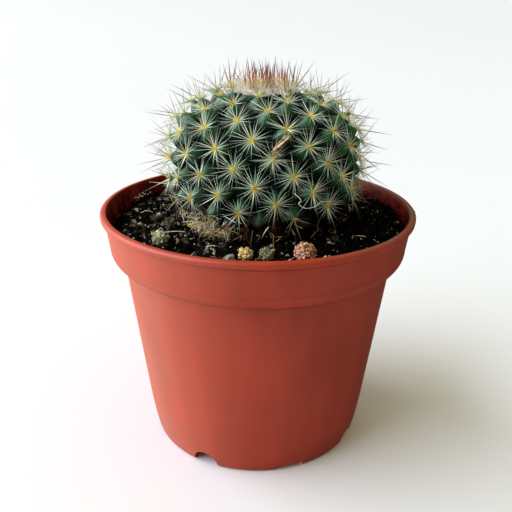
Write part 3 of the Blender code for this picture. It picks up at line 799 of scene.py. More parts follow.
# White perlite and pale chunks that stand out: x, y, z and size in mm, and tone.
PERLITE = (
    (-32.6, -8.7, 62.6, 1.1, 0.8), (-31.2, -7.6, 62.9, 0.8, 0.88), (-28.6, -0.3, 62.6, 1.2, 0.84),
    (-27.4, 0.9, 62.9, 0.8, 0.9), (-29.9, -11.5, 62.3, 0.9, 0.8), (-33.9, -2.4, 62.2, 0.6, 0.94),
    (-17.9, -18.6, 62.9, 0.9, 0.84), (-19.9, -19.4, 62.9, 0.7, 0.9), (-16.0, -17.7, 62.9, 0.5, 1.0),
    (16.7, -27.0, 62.4, 0.5, 1.0), (17.5, -26.0, 62.4, 0.4, 0.97), (18.2, -17.4, 62.6, 0.5, 1.0),
    (30.4, -13.4, 62.6, 0.6, 0.92), (29.8, -16.2, 62.6, 0.7, 0.86), (13.0, -28.3, 62.5, 0.35, 1.0),
    (5.9, -24.0, 62.4, 0.35, 1.0), (-36.7, 15.6, 63.4, 0.26, 1.1), (-36.2, 16.7, 63.0, 0.3, 1.1),
    (-35.8, 17.6, 63.2, 0.24, 1.1), (-35.3, 18.5, 62.9, 0.3, 1.1), (-34.7, 19.4, 63.3, 0.28, 1.1),
    (-36.4, 16.2, 62.4, 0.2, 1.1), (-35.1, 18.9, 63.8, 0.2, 1.1), (-35.9, 17.2, 63.8, 0.2, 1.1),
    (-34.0, 20.4, 63.1, 0.26, 1.1), (-33.4, 21.2, 63.4, 0.24, 1.1), (-37.0, 14.8, 63.3, 0.2, 1.1),
    (42.2, -2.4, 66.2, 0.5, 0.86), (42.1, -4.4, 65.9, 0.3, 0.8),
)


class CACTUS_OT_soil(bpy.types.Operator):
    """Turn the soil's filling, roughen its top, and scatter grains, grit and fibres on it"""
    bl_idname = "cactus.soil"
    bl_label = "Make the soil"

    def execute(self, context):
        settings = context.scene.cactus.soil
        self.make_filling(settings)
        self.make_grains(settings)
        self.make_fibres(settings)
        return {"FINISHED"}

    def make_filling(self, settings):
        side = inside_outline(0.06 * MM, SOIL_LEVEL, 6)
        hole = NECK_RADIUS + 0.1 * MM
        top = [(radius, SOIL_LEVEL) for radius in np.linspace(hole, side[0][0], 66)]
        floor_z = NECK_BOTTOM_Z - 0.3 * MM
        bm = turned([(0.0, floor_z), (hole, floor_z)] + top + side[1:], 260)
        for vert in bm.verts:
            radius = math.hypot(vert.co.x, vert.co.y)
            if radius < 0.99 * hole or (vert.co.z < SOIL_LEVEL and radius < 1.01 * hole):
                vert.co.x += PLANT_X
            elif abs(vert.co.z - SOIL_LEVEL) < 0.01 * MM:
                vert.co.x += PLANT_X * (side[0][0] - radius) / (side[0][0] - hole)
                fade = min((radius - hole) / (4.0 * MM), 1.0)
                relief = fade * settings.relief * crumbs(vert.co.x, vert.co.y)
                vert.co.z = soil_height(vert.co.x, vert.co.y) + relief
        finish("soil_surface", bm, potting_soil(), "soil", ["soil"])

    def make_grains(self, settings):
        """Bits from 0.4 to 3 mm across, a few of white perlite; painted light makes them paler, and more
        often white, towards the lit left side.
        """
        rng = random.Random(SEED)
        shapes = [rough_bit(1, 1.3, seed) for seed in range(5)]
        lumps = [rough_bit(2, 1.1, seed) for seed in range(5)]
        bm, tone = new_bits("tone")
        for i in range(settings.grains):
            spot = soil_spot(rng, *GRAIN_RING)
            big = rng.random() < BIG_GRAINS
            size = (rng.uniform(0.75, 1.35) if big else rng.lognormvariate(-1.1, 0.42)) * MM
            spot.z += 0.6 * settings.relief * crumbs(spot.x, spot.y) + rng.uniform(0.0, 0.5) * size
            turn = tumbled(rng)
            depth, height = rng.uniform(0.5, 0.95), rng.uniform(0.5, 0.9)
            scale = Matrix.Diagonal((size, size * depth, size * height, 1.0))
            # Painted light: grains are paler, and more often white, towards the lit left side.
            painted_light = clamped((8.0 * MM - spot.x) / (26.0 * MM))
            value = rng.random() ** (1.9 - 1.0 * painted_light) * (0.78 if big else 0.93)
            if not big and rng.random() < 0.02 + 0.07 * painted_light:
                value = rng.uniform(0.92, 1.0)
                scale = scale @ Matrix.Scale(0.8, 4)
            place = Matrix.Translation(spot) @ turn @ scale
            stamp(bm, rng.choice(lumps if big else shapes), place, [(tone, value)])

        def drop(spot, size, palest, darkest):
            """Set one small bit down, with a tone between two."""
            shape = rng.choice(shapes)
            value = rng.uniform(darkest, palest) if darkest < palest else palest
            place = Matrix.Translation(spot) @ Matrix.Scale(size, 4)
            stamp(bm, shape, place, [(tone, value)])

        for i in range(settings.grains // 3):
            spot = soil_spot(rng, *SPECK_RING)
            # Painted light: the pale specks lie mostly on the lit left side.
            painted_light = clamped((12.0 * MM - spot.x) / (30.0 * MM))
            if rng.random() < 0.12 + 0.88 * painted_light:
                spot.z += 0.8 * settings.relief * max(crumbs(spot.x, spot.y), -0.1) + 0.2 * MM
                drop(spot, rng.uniform(0.1, 0.27) * MM, 1.0, 0.84)
        for i in range(WALL_CRUMBS):
            angle = rng.uniform(0.0, TURN)
            z = SOIL_LEVEL + rng.expovariate(1.0 / (0.55 * MM))
            if z < POT_HEIGHT - LIP_HEIGHT:
                radius = inside_outline(0.15 * MM, z, 2)[0][0]
                spot = Vector((radius * math.cos(angle), radius * math.sin(angle), z))
                drop(spot, rng.uniform(0.15, 0.5) * MM, 0.75, 0.0)
        for x, y, z, size, value in PERLITE:
            drop(Vector((x, y, z)) * MM, size * MM, value, value)
        finish("soil_grains", bm, loose_grit(), "soil", crease=40)

    def make_fibres(self, settings):
        rng = random.Random(SEED + 1)
        shapes = [needle(4, (0.0, 0.3, 0.6, 0.9), (1.0, 0.9, 0.8, 0.5), bend) for bend in (0, 6, 14)]
        bm, tone = new_bits("tone")
        for i in range(settings.fibres):
            spot = soil_spot(rng, *FIBRE_RING)
            angle = rng.uniform(0, TURN)
            direction = Vector((math.cos(angle), math.sin(angle), rng.uniform(-0.1, 0.25)))
            length = rng.uniform(1.5, 5.0) * MM
            tip = spot + direction * length
            if math.hypot(tip.x, tip.y) > SOIL_REACH + 0.1 * MM:
                direction = -direction
            spot.z += rng.uniform(0.2, 0.8) * MM
            place = placed(spot, direction, rng.uniform(0.07, 0.14) * MM, length, rng.uniform(0, TURN))
            shaded = clamped(spot.x / (30.0 * MM), 0.0, 0.4)
            stamp(bm, rng.choice(shapes), place, [(tone, rng.uniform(0.5, 0.97) - shaded)])
        finish("peat_fibres", bm, loose_grit(), "soil")


# ---------------------------------------------------------------- plant

def skin_profile():
    """Radius and z along the skin's whole meridian, on past the base to the neck's foot."""
    arc, radius, z = MERIDIAN.arc, MERIDIAN.radius, MERIDIAN.z
    under = z[-1] - BASE_DROP
    extra = ((NECK_RADIUS, under), (NECK_RADIUS, NECK_BOTTOM_Z), (0.0, NECK_BOTTOM_Z))
    for r, height in extra:
        step = math.hypot(r - radius[-1], height - z[-1])
        arc = np.append(arc, arc[-1] + step)
        radius = np.append(radius, r)
        z = np.append(z, height)
    return arc, radius, z


def valley_depth(arc):
    share = np.minimum(arc / CROWN_REACH, 1.0)
    return CROWN_VALLEY_DEPTH + (VALLEY_DEPTH - CROWN_VALLEY_DEPTH) * share


def waxy_skin(settings):
    """Living cactus skin: waxy blue-green epidermis, painted near black in the hollows as shade, corky
    brown at the base, where it is also darkened as painted shade.
    """
    look = Look(blank("waxy_cactus_skin"))
    hollow_shade = look.layer("hollow_shade")
    mottle = look.noise(2.6, 4.0)
    # Painted shade: the skin goes near black in the hollows between the tubercles.
    depth = look.span(hollow_shade, (0.24, 0.8))
    green = look.mix(depth, tuple(settings.flank), tuple(settings.hollow_shade))
    misted = look.mix(look.span(mottle, (0.35, 0.7), (0.0, 0.4)), green, "18402B")
    # Corky skin at the base, painted near black as shade under the plant's bulge.
    cork_and_shade = look.ramp(mottle, ((0.35, "080503"), (0.6, "1C150C"), (0.78, "4A3C20")))
    brown = look.span(look.maths("MULTIPLY_ADD", mottle, 0.9, look.layer("corky_and_shaded")), (0.75, 1.05))
    cells = look.bump(look.noise(0.35, 1.0), 0.15, 0.05)
    return look.finished(
        look.mix(brown, misted, cork_and_shade), look.span(brown, end=(0.27, 0.85)), IOR=1.55,
        Normal=look.bump(mottle, 0.3, 0.25, Normal=cells),
        Specular_IOR_Level=look.span(hollow_shade, (0.4, 0.8), (0.32, 0.03)),
        Subsurface_Weight=0.12, Subsurface_Radius=(0.6, 1.0, 0.5), Subsurface_Scale=0.8 * MM)


def solid(angle, radius, z):
    """Points round the plant's axis, from arrays of their angles, radii and heights."""
    return np.stack((PLANT_X + radius * np.cos(angle), radius * np.sin(angle), z), axis=1)


class CACTUS_OT_skin(bpy.types.Operator):
    """Wrap a fine ball round the plant's outline and raise a tubercle at each place"""
    bl_idname = "cactus.skin"
    bl_label = "Make the plant's body"

    def execute(self, context):
        settings = context.scene.cactus.skin
        bm = bmesh.new()
        bmesh.ops.create_uvsphere(bm, u_segments=settings.columns, v_segments=settings.rows, radius=1.0)
        unit = np.array([vert.co for vert in bm.verts])
        angle = np.arctan2(unit[:, 1], unit[:, 0])
        polar = np.arccos(np.clip(unit[:, 2], -1.0, 1.0)) / math.pi
        arcs, radii, heights = skin_profile()
        end = MERIDIAN.arc[-1]
        arc = np.interp(polar, (0.0, BODY_ROWS, 1.0), (0.0, end, arcs[-1]))
        tips = np.array([MERIDIAN.point(*place) for place in PLACES])
        radius, z = np.interp(arc, arcs, radii), np.interp(arc, arcs, heights)
        base = solid(angle, radius, z)
        nearest = np.linalg.norm(base[:, None] - tips[None], axis=2)
        nearest.partition(1, axis=1)
        share = 2.0 * nearest[:, 0] / (nearest[:, 0] + nearest[:, 1])
        tubercled = np.where(arc < end, 1.0, 0.0)
        arc += VALLEY_DROOP * share ** 2 * tubercled
        radius, z = np.interp(arc, arcs, radii), np.interp(arc, arcs, heights)
        after, before = arc + SLOPE_STEP, arc - SLOPE_STEP
        slope_r, slope_z = (np.interp(after, arcs, along) - np.interp(before, arcs, along)
                            for along in (radii, heights))
        length = np.maximum(np.hypot(slope_r, slope_z), 1e-9)
        drop = valley_depth(arc) * share ** settings.peak * tubercled
        radius = np.maximum(radius + drop * slope_z / length, 0.0)
        z = z - drop * slope_r / length * np.where(arc < 0.6 * MM, 0.0, 1.0)
        spots = solid(angle, radius, z)
        skin = finish("cactus_skin", bm, waxy_skin(settings), "plant_skin", ["cactus"])
        skin.data.vertices.foreach_set("co", spots.ravel())
        # Corky skin and painted shade, growing towards the base.
        corky_and_shaded = np.clip((arc - CORKY_SHADE_ARC) / CORKY_SHADE_WIDTH, 0.0, 1.0)
        for name, values in (("hollow_shade", share), ("corky_and_shaded", corky_and_shaded)):
            layer = skin.data.attributes.new(name, "FLOAT", "POINT")
            layer.data.foreach_set("value", values)
        skin.data.update()
        return {"FINISHED"}


def spine_material(name, stops, young_stops):
    """Keratin-hard cactus spines: coloured along their length, with a sheen."""
    look = Look(blank(name))
    along = look.layer("along")
    colour = look.mix(look.layer("young"), look.ramp(along, stops), look.ramp(along, young_stops))
    bright = look.span(look.layer("shade"), end=(0.42, 1.3))
    lively = look.mix(1.0, colour, bright, blend_type="MULTIPLY")
    worn = look.mix(look.layer("worn"), lively, "57472F")
    return look.finished(worn, look.span(look.noise(0.5, 2.0), end=(0.35, 0.6)), IOR=1.5)


def areole_wool():
    """Felt and wool of the areoles: ochre where it is old, cream with a pink tinge where it is new."""
    return toned("areole_wool", (0.4, 4.0), 0.3, 0.0, (
        (0.02, "B87A2A"), (0.12, "CFA62E"), (0.3, "E3CB52"), (0.55, "F0E2A6"), (0.8, "F4DDCB"),
        (1.1, "FBEFE6")), (0.6, 0.2), 0.9, Sheen_Weight=0.3, Specular_IOR_Level=0.2)


def tubercle_axis(rng, angle, arc):
    lift = Vector((0.0, 0.0, SPINE_LIFT))
    return (MERIDIAN.normal(angle, arc) + lift + jolt(rng, 0.1)).normalized()


def youth(arc):
    """1 in the tuft at the crown, where the spines are new, down to 0 below it."""
    share = clamped((CROWN_TUFT[1] - arc) / (CROWN_TUFT[1] - CROWN_TUFT[0]))
    return share * share * (3.0 - 2.0 * share)


def wear(arc):
    """0 on the living plant, up to 1 at the base, where the spines are withered."""
    return clamped((arc - WITHERED_ARC[0]) / (WITHERED_ARC[1] - WITHERED_ARC[0]))


class CACTUS_OT_spines(bpy.types.Operator):
    """Set a felted pad on every tubercle, with its ring of fine spines and its long middle ones"""
    bl_idname = "cactus.spines"
    bl_label = "Make the areoles and spines"

    def execute(self, context):
        settings = context.scene.cactus.spines
        self.rng = random.Random(SEED + 2)
        self.axes = [tubercle_axis(self.rng, *place) for place in PLACES]
        self.make_radials(settings)
        self.make_centrals(settings)
        self.make_pads()
        return {"FINISHED"}

    def areoles(self, height=0.0):
        """Of each living areole: its arc, youth, axis, a direction across it, and its tip."""
        for (angle, arc), axis in zip(PLACES, self.axes):
            if arc <= LAST_AREOLE_ARC:
                across = axis.orthogonal().normalized()
                yield arc, youth(arc), axis, across, MERIDIAN.point(angle, arc, height)

    def set_spine(self, bm, shapes, place, fresh, worn):
        """Stand one spine on its areole, with its place on itself, youth, shade and wear."""
        where = placed(*place, self.rng.uniform(0, TURN))
        shape = self.rng.choice(shapes)
        layers = [bm.verts.layers.float[name] for name in SPINE_LAYERS]
        stamp(bm, shape, where, zip(layers, (None, fresh, self.rng.random(), worn)))

    def make_radials(self, settings):
        rng = self.rng
        bends = (-3.5, 0.0, 3.0, 7.0)
        shapes = [needle(4, (0.0, 0.3, 0.7), (1.0, 0.9, 0.62), bend) for bend in bends]
        bm = new_bits(*SPINE_LAYERS)[0]
        for arc, fresh, axis, across, tip in self.areoles():
            old = wear(arc)
            count = round((settings.radials + rng.randint(-2, 2)) * (1.0 - 0.5 * old))
            first = rng.uniform(0.0, TURN)
            for i in range(count):
                turn = first + TURN * i / count + rng.uniform(-0.12, 0.12)
                out = Matrix.Rotation(turn, 3, axis) @ across
                slant = settings.spread + (settings.crown_spread - settings.spread) * fresh
                slant += rng.gauss(0.0, 0.15 + 0.2 * old)
                ray = out * math.sin(slant) + axis * math.cos(slant)
                length = settings.radial_length * rng.uniform(0.7, 1.2) * (1.0 - 0.3 * old)
                root = tip + out * rng.uniform(0.25, 0.5) * MM * (1.0 - 0.5 * fresh)
                width = 0.5 * settings.radial_width * rng.uniform(0.6, 1.25)
                self.set_spine(bm, shapes, (root, ray, width, length), fresh, 0.85 * old)
        material = spine_material(
            "radial_spine_keratin",
            ((0.0, "D6C23A"), (0.07, "E9E68E"), (0.2, "E6EFD6"), (0.9, "EAF3E8")),
            ((0.0, "F0DC7A"), (0.35, "FBF0BE"), (0.8, "FFF6E6"), (1.0, "F8E8DE")))
        finish("radial_spines", bm, material, "plant_skin")

    def make_centrals(self, settings):
        rng = self.rng
        shapes = [needle(5, (0.0, 0.35, 0.75), (1.0, 0.85, 0.5), bend) for bend in (0.0, 2.0, 4.0)]
        bm = new_bits(*SPINE_LAYERS)[0]
        for arc, fresh, axis, across, tip in self.areoles():
            down = (Vector((0.0, 0.0, -1.0)) + axis * axis.z).normalized()
            count = rng.choice((3, 3, 4, 4)) if fresh == 0.0 else 7
            for i in range(count):
                longest = i == 0
                turn = rng.gauss(0.0, 0.3) if longest else TURN * i / count + rng.uniform(-0.4, 0.4)
                out = Matrix.Rotation(turn, 3, axis) @ down
                slant = rng.uniform(0.5, 1.2) if longest else rng.uniform(0.25, 0.8)
                slant *= 1.0 - 0.75 * fresh
                ray = out * math.sin(slant) + axis * math.cos(slant)
                ray = ray.lerp(Vector((0.0, 0.0, 1.0)), 0.4 * fresh)
                share = rng.uniform(0.9, 1.1) if longest else rng.uniform(0.6, 0.95)
                length = settings.central_length * share * (1.0 - 0.12 * fresh)
                width = 0.5 * settings.central_width * rng.uniform(0.85, 1.1) * (1.0 + 0.8 * fresh)
                width *= 1.0 if longest else 0.8
                root = tip + out * (0.2 + rng.uniform(0.0, 1.3) * fresh) * MM
                self.set_spine(bm, shapes, (root, ray, width, length), fresh, 0.6 * wear(arc))
        material = spine_material(
            "central_spine_keratin",
            ((0.0, "D8B836"), (0.12, "F2E38A"), (0.27, "DCD3B0"), (0.45, "80766C"), (1.0, "1C171A")),
            ((0.0, "F6E8A8"), (0.25, "F6BE52"), (0.42, "CC5218"), (0.58, "76120F"), (1.0, "30080E")))
        finish("central_spines", bm, material, "plant_skin")

    def make_pads(self):
        """Low felted pads with a few dozen short wool hairs each."""
        rng = self.rng
        pad = rough_bit(2, 0.35, 5)
        hair = needle(3, (0.0, 0.5), (1.0, 0.8), 5.0)
        bm, tone = new_bits("tone")
        for arc, fresh, axis, across, tip in self.areoles(-0.15 * MM):
            size = (0.55 + 0.55 * fresh) * MM * (1.0 - 0.3 * wear(arc))
            age = rng.uniform(-0.12, 0.3) + 0.6 * fresh
            stamp(bm, pad, placed(tip, axis, size, 0.6 * size, rng.uniform(0, TURN)), [(tone, age)])
            for i in range(int(16 + 60 * fresh)):
                out = Matrix.Rotation(rng.uniform(0, TURN), 3, axis) @ across
                root = tip + out * size * rng.uniform(0.1, 0.95) + axis * 0.2 * MM
                ray = out * rng.uniform(0.0, 1.0) + axis
                place = placed(root, ray, rng.uniform(0.04, 0.07) * MM,
                               rng.uniform(0.6, 1.2 + 1.6 * fresh) * MM, rng.uniform(0, TURN))
                stamp(bm, hair, place, [(tone, min(age + rng.uniform(0.0, 0.3), 1.0))])
        finish("areole_pads", bm, areole_wool(), "plant_skin")


class CACTUS_OT_wool(bpy.types.Operator):
    """Fill the crown between the young tubercles with a bed of fine cream wool"""
    bl_idname = "cactus.wool"
    bl_label = "Make the crown's wool"

    def execute(self, context):
        rng = random.Random(SEED + 5)
        hairs = [needle(3, (0.0, 0.45, 0.8), (1.0, 0.9, 0.7), bend) for bend in (6.0, 12.0)]
        bm, tone = new_bits("tone")
        for i in range(WOOL_HAIRS):
            arc = WOOL_REACH * math.sqrt(rng.random())
            angle = rng.uniform(0.0, TURN)
            root = MERIDIAN.point(angle, arc, -0.4 * MM)
            ray = MERIDIAN.normal(angle, arc) + jolt(rng, 0.55)
            length = rng.uniform(1.0, 2.2) * MM * (1.0 - 0.35 * arc / WOOL_REACH)
            place = placed(root, ray, rng.uniform(0.05, 0.09) * MM, length, rng.uniform(0.0, TURN))
            stamp(bm, rng.choice(hairs), place, [(tone, rng.uniform(0.7, 1.1))])
        finish("crown_wool", bm, areole_wool(), "plant_skin")
        return {"FINISHED"}


# Heaps of shrivelled crumbs at the plant's foot: x, y, z, reach and height in mm, count, tone.
REMNANTS = (
    (-11.0, -18.4, 65.2, 1.5, 0.6, 110, 0.95), (-8.8, -18.8, 65.5, 1.3, 0.6, 70, 0.9),
    (-9.6, -19.2, 64.2, 1.5, 0.5, 50, 0.38), (-7.0, -18.8, 66.4, 0.8, 1.2, 60, 0.45),
    (-2.8, -19.9, 65.8, 0.8, 2.0, 110, 0.26), (-5.0, -19.6, 64.2, 1.2, 1.0, 40, 0.2),
    (-14.6, -15.6, 66.2, 1.3, 1.0, 45, 0.88), (-16.4, -14.0, 65.2, 1.3, 0.8, 30, 0.8),
    (0.6, -19.6, 65.0, 1.6, 1.3, 50, 0.1), (4.0, -19.4, 67.8, 1.5, 1.4, 80, 0.4),
)
# Long hairs and fallen spines, as points in mm, with a radius in mm and a tone.
STRAYS = (
    (((8.6, -27.3, 78.4), (10.2, -27.6, 76.9), (9.7, -27.5, 75.9), (11.4, -27.2, 74.8),
      (13.8, -26.2, 75.0), (15.0, -25.6, 75.9), (17.4, -24.2, 75.6), (20.4, -22.2, 75.3)), 0.075, 1.1),
    (((-23.4, -15.6, 64.0), (-20.8, -15.4, 64.2), (-18.2, -15.2, 64.1)), 0.1, 1.1),
    (((-23.4, 14.2, 67.8), (-29.2, 15.2, 68.1), (-32.6, 15.6, 68.2)), 0.09, 1.2),
    (((-25.9, -13.9, 62.8), (-25.4, -13.4, 64.0), (-24.6, -13.6, 64.3), (-24.3, -14.2, 63.5)), 0.07, 1.0),
    (((6.4, -31.8, 62.9), (7.6, -31.6, 63.3), (9.0, -30.4, 63.7)), 0.16, 0.8),
    (((4.0, -26.6, 67.6), (4.1, -27.2, 65.6), (4.3, -27.8, 63.0)), 0.11, 0.4),
    (((-1.0, -20.6, 66.8), (-1.3, -21.4, 65.0), (-1.5, -21.8, 62.8)), 0.11, 0.4),
    (((24.5, -13.6, 63.2), (27.2, -14.4, 63.5), (29.5, -15.4, 62.9)), 0.12, 0.6),
    (((11.5, -24.4, 62.9), (13.2, -25.0, 63.1), (14.2, -24.6, 62.9)), 0.1, 0.8),
    (((-33.0, 2.6, 63.0), (-31.4, 3.4, 63.4), (-29.6, 3.2, 63.0)), 0.12, 0.8),
    (((-12.5, -22.5, 63.0), (-10.5, -23.4, 63.6), (-8.9, -22.8, 63.1)), 0.1, 0.7),
)


def withered_tissue():
    """Dead cactus tissue: papery and crumpled, from rotted brown to straw and ochre yellow."""
    return toned("withered_cactus_tissue", (0.8, 6.0, 0.7), 0.5, 0.25, (
        (0.05, "0E0905"), (0.2, "4E220A"), (0.35, "9A4E14"), (0.5, "B08C4C"), (0.68, "D8B45C"),
        (0.85, "ECCB66"), (1.0, "F8E8A4")), (0.9, 0.3), 0.8, Specular_IOR_Level=0.3)


def dead_needles():
    """Dead spines and hairs: dull straw, grey or brown."""
    return toned("dead_spine_keratin", (0.7, 2.0), 0.2, 0.1, (
        (0.0, "1A110C"), (0.3, "54381C"), (0.52, "BE9A58"), (0.72, "EEDC9E"), (0.95, "FFF8E4")),
        None, 0.6, IOR=1.5)


class CACTUS_OT_withered(bpy.types.Operator):
    """Heap the shrivelled remnants and dead spines at the plant's foot, and lay the stray hairs"""
    bl_idname = "cactus.withered"
    bl_label = "Make the withered growth"

    def execute(self, context):
        rng = random.Random(SEED + 6)
        self.make_remnants(rng)
        self.make_tangle(rng)
        self.make_strays()
        return {"FINISHED"}

    def make_remnants(self, rng):
        bits = [rough_bit(1, 1.5, seed + 0.5) for seed in range(6)]
        bm, tone = new_bits("tone")
        for x, y, z, reach, height, count, value in REMNANTS:
            for i in range(count):
                spot = Vector((x + rng.gauss(0.0, 0.5) * reach, y + rng.gauss(0.0, 0.35) * reach,
                               z + rng.gauss(0.0, 0.5) * height)) * MM
                turn = tumbled(rng)
                size = rng.uniform(0.16, 0.42) * MM
                scale = Matrix.Diagonal((size, 0.5 * size, rng.uniform(0.6, 2.6) * size, 1.0))
                stamp(bm, rng.choice(bits), Matrix.Translation(spot) @ turn @ scale,
                      [(tone, value + rng.uniform(-0.5, 0.15))])
        finish("withered_remnants", bm, withered_tissue(), "dry_petals", crease=50)

    def make_tangle(self, rng):
        """Dead spines, thick at the front left, where several tubercles have died."""
        shapes = [needle(3, (0.0, 0.35, 0.7), (1.0, 0.9, 0.6), bend) for bend in (0.0, 5.0, 11.0)]
        bm, tone = new_bits("tone")
        for i in range(TANGLE_NEEDLES):
            thick = rng.random() < 0.7
            angle = math.radians(rng.gauss(TANGLE_ANGLE, 12.0) if thick else rng.uniform(0.0, 360.0))
            arc = rng.uniform(*(TANGLE_ARC if thick else LITTER_ARC)) * MM
            root = MERIDIAN.point(angle, arc, rng.uniform(0.0, 2.2) * MM)
            ray = MERIDIAN.normal(angle, arc) * 0.3 + jolt(rng, 1.0)
            length = rng.uniform(1.2, 3.6) * MM
            tip = root + ray.normalized() * length
            floor = soil_height(tip.x, tip.y) + 0.4 * MM
            if tip.z < floor:
                ray = Vector((ray.x, ray.y, abs(ray.z) * 0.3))
            place = placed(root, ray, rng.uniform(0.07, 0.12) * MM, length, rng.uniform(0.0, TURN))
            value = rng.choice((0.15, 0.6, 0.9, 1.2)) if thick else rng.uniform(0.1, 0.7)
            stamp(bm, rng.choice(shapes), place, [(tone, value)])
        finish("dead_spine_tangle", bm, dead_needles(), "dry_petals")

    def make_strays(self):
        bm, tone = new_bits("tone")
        for points, radius, value in STRAYS:
            path = curve_through([Vector(point) * MM for point in points], 6 * len(points))
            start = len(bm.verts)
            shares = np.linspace(0.0, 1.0, len(path))
            tube(bm, path, [radius * MM * (1.0 - 0.75 * share ** 2) for share in shares], 6)
            for vert in list(bm.verts)[start:]:
                vert[tone] = value
        bmesh.ops.recalc_face_normals(bm, faces=bm.faces)
        finish("stray_hairs", bm, dead_needles(), "dry_petals")


# ---------------------------------------------------------------- loose pieces

def papery_petals():
    """A withered flower: thin and fibrous, straw-coloured on its ribs and brown in its folds, where the
    brown is partly painted shade.
    """
    look = Look(blank("withered_petal_tissue"))
    rib = look.noise(0.9, 6.0, 0.7)
    ridge = look.maths("MULTIPLY_ADD", look.layer("tone"), 0.45, rib)
    colour = look.ramp(ridge, ((0.5, "1C0E06"), (0.64, "6E4E32"), (0.78, "B0946A"), (0.98, "E6D6B0")))
    return look.finished(colour, 0.75, Normal=look.bump(rib, 0.8, 0.3))


class CACTUS_OT_flower(bpy.types.Operator):
    """Bridge rings along the withered flower's path and pleat them"""
    bl_idname = "cactus.flower"
    bl_label = "Make the withered flower"

    def execute(self, context):
        low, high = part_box("dried_flower")
        knots = [MERIDIAN.point(math.radians(a), arc * MM, h * MM) for a, arc, h in FLOWER_PATH]
        shift = 0.5 * (low + high) - 0.5 * (Vector([min(k[i] for k in knots) for i in range(3)])
                                            + Vector([max(k[i] for k in knots) for i in range(3)]))
        path = curve_through([knot + shift for knot in knots], 22)
        shares = np.linspace(0, len(FLOWER_RADII) - 1, len(path))
        radii = np.interp(shares, range(len(FLOWER_RADII)), FLOWER_RADII)
        bm, tone = new_bits("tone")
        tube(bm, path, [radius * MM for radius in radii], FLOWER_SIDES)
        bm.verts.ensure_lookup_table()
        for i, vert in enumerate(bm.verts):
            ring = min(i // FLOWER_SIDES, len(path) - 1)
            turn = TURN * (i % FLOWER_SIDES) / FLOWER_SIDES
            fold = 0.6 * math.cos(3.0 * turn + 0.16 * ring) + 0.4 * math.cos(5.0 * turn - 0.1 * ring)
            fold += 0.7 * noise.noise(vert.co / (0.5 * MM))
            # Painted shade: the tone follows the pleats, darker where they fold in.
            vert[tone] = 0.5 + 0.5 * fold
            if i < FLOWER_SIDES * len(path):
                vert.co = path[ring] + (vert.co - path[ring]) * (1.0 + 0.3 * fold)
        bmesh.ops.recalc_face_normals(bm, faces=bm.faces)
        rng = random.Random(SEED + 8)
        scale_shape = needle(4, (0.0, 0.3, 0.7), (0.6, 1.0, 0.6), 9.0)
        for i in range(FLOWER_SCALES):
            ray = Vector((rng.uniform(-0.6, 1.0), rng.uniform(-0.8, -0.1), rng.uniform(-1.0, 0.5)))
            root = path[5] + jolt(rng, 0.5) * MM
            place = placed(root, ray, rng.uniform(0.09, 0.18) * MM, rng.uniform(1.0, 2.4) * MM,
                           rng.uniform(0.0, TURN))
            stamp(bm, scale_shape, place, [(tone, rng.uniform(0.2, 0.9))])
        finish("withered_flower", bm, papery_petals(), "dry_petals", ["dried_flower"], crease=50)
        return {"FINISHED"}


def crusted(name, stops, size, strength):
    """Dry crumbly surface whose colours follow its lumps and pits: the dark pits are partly painted
    shade, the pale tops partly painted highlight.
    """
    look = Look(blank(name))
    lump = look.noise(size, 8.0, 0.68)
    sockets = {"Vector": look.where, "Scale": per_mm(0.7 * size)}
    pit = add(look.owner, "TexVoronoi", sockets).outputs["Distance"]
    mixed = look.maths("MULTIPLY_ADD", pit, 0.25, lump)
    return look.finished(look.ramp(mixed, stops), 0.9, Specular_IOR_Level=0.3,
                         Normal=look.bump(mixed, strength, 0.4))


# name, node, slot, crumb size in mm, relief, colours from the pits to the tops: the darkest partly
# painted shade, the palest partly painted highlight
CLODS = (
    ("fired_clay_pebble", "clay_pebble", "clay", 1.1, 0.22,
     ((0.44, "35130C"), (0.54, "8A4832"), (0.64, "BC8462"), (0.76, "F0D8BC"))),
    ("moss_crusted_clod", "mossy_clod", "clod_moss", 0.9, 0.4,
     ((0.45, "15140A"), (0.54, "5E5D38"), (0.62, "A3A272"), (0.72, "F2F1D8"))),
    ("olive_crumb", "olive_clod", "clod_moss", 0.9, 0.42,
     ((0.45, "15130C"), (0.54, "4E4A30"), (0.64, "8A8462"), (0.76, "C8C4A4"))),
    ("ochre_crumb", "ochre_clod", "clod_ochre", 0.8, 0.46,
     ((0.44, "2A1406"), (0.53, "8E5A22"), (0.61, "CFA04E"), (0.72, "F8E6B4"))),
    ("grey_crumb", "grey_clod", "clod_grey", 0.8, 0.22,
     ((0.38, "23211E"), (0.5, "5C5A54"), (0.65, "8F8D86"), (0.8, "C9C7C0"))),
    ("left_crumb", "left_clod", "clod_moss", 0.9, 0.4,
     ((0.45, "0C0A06"), (0.55, "29251A"), (0.67, "5A543E"), (0.8, "948E78"))),
)


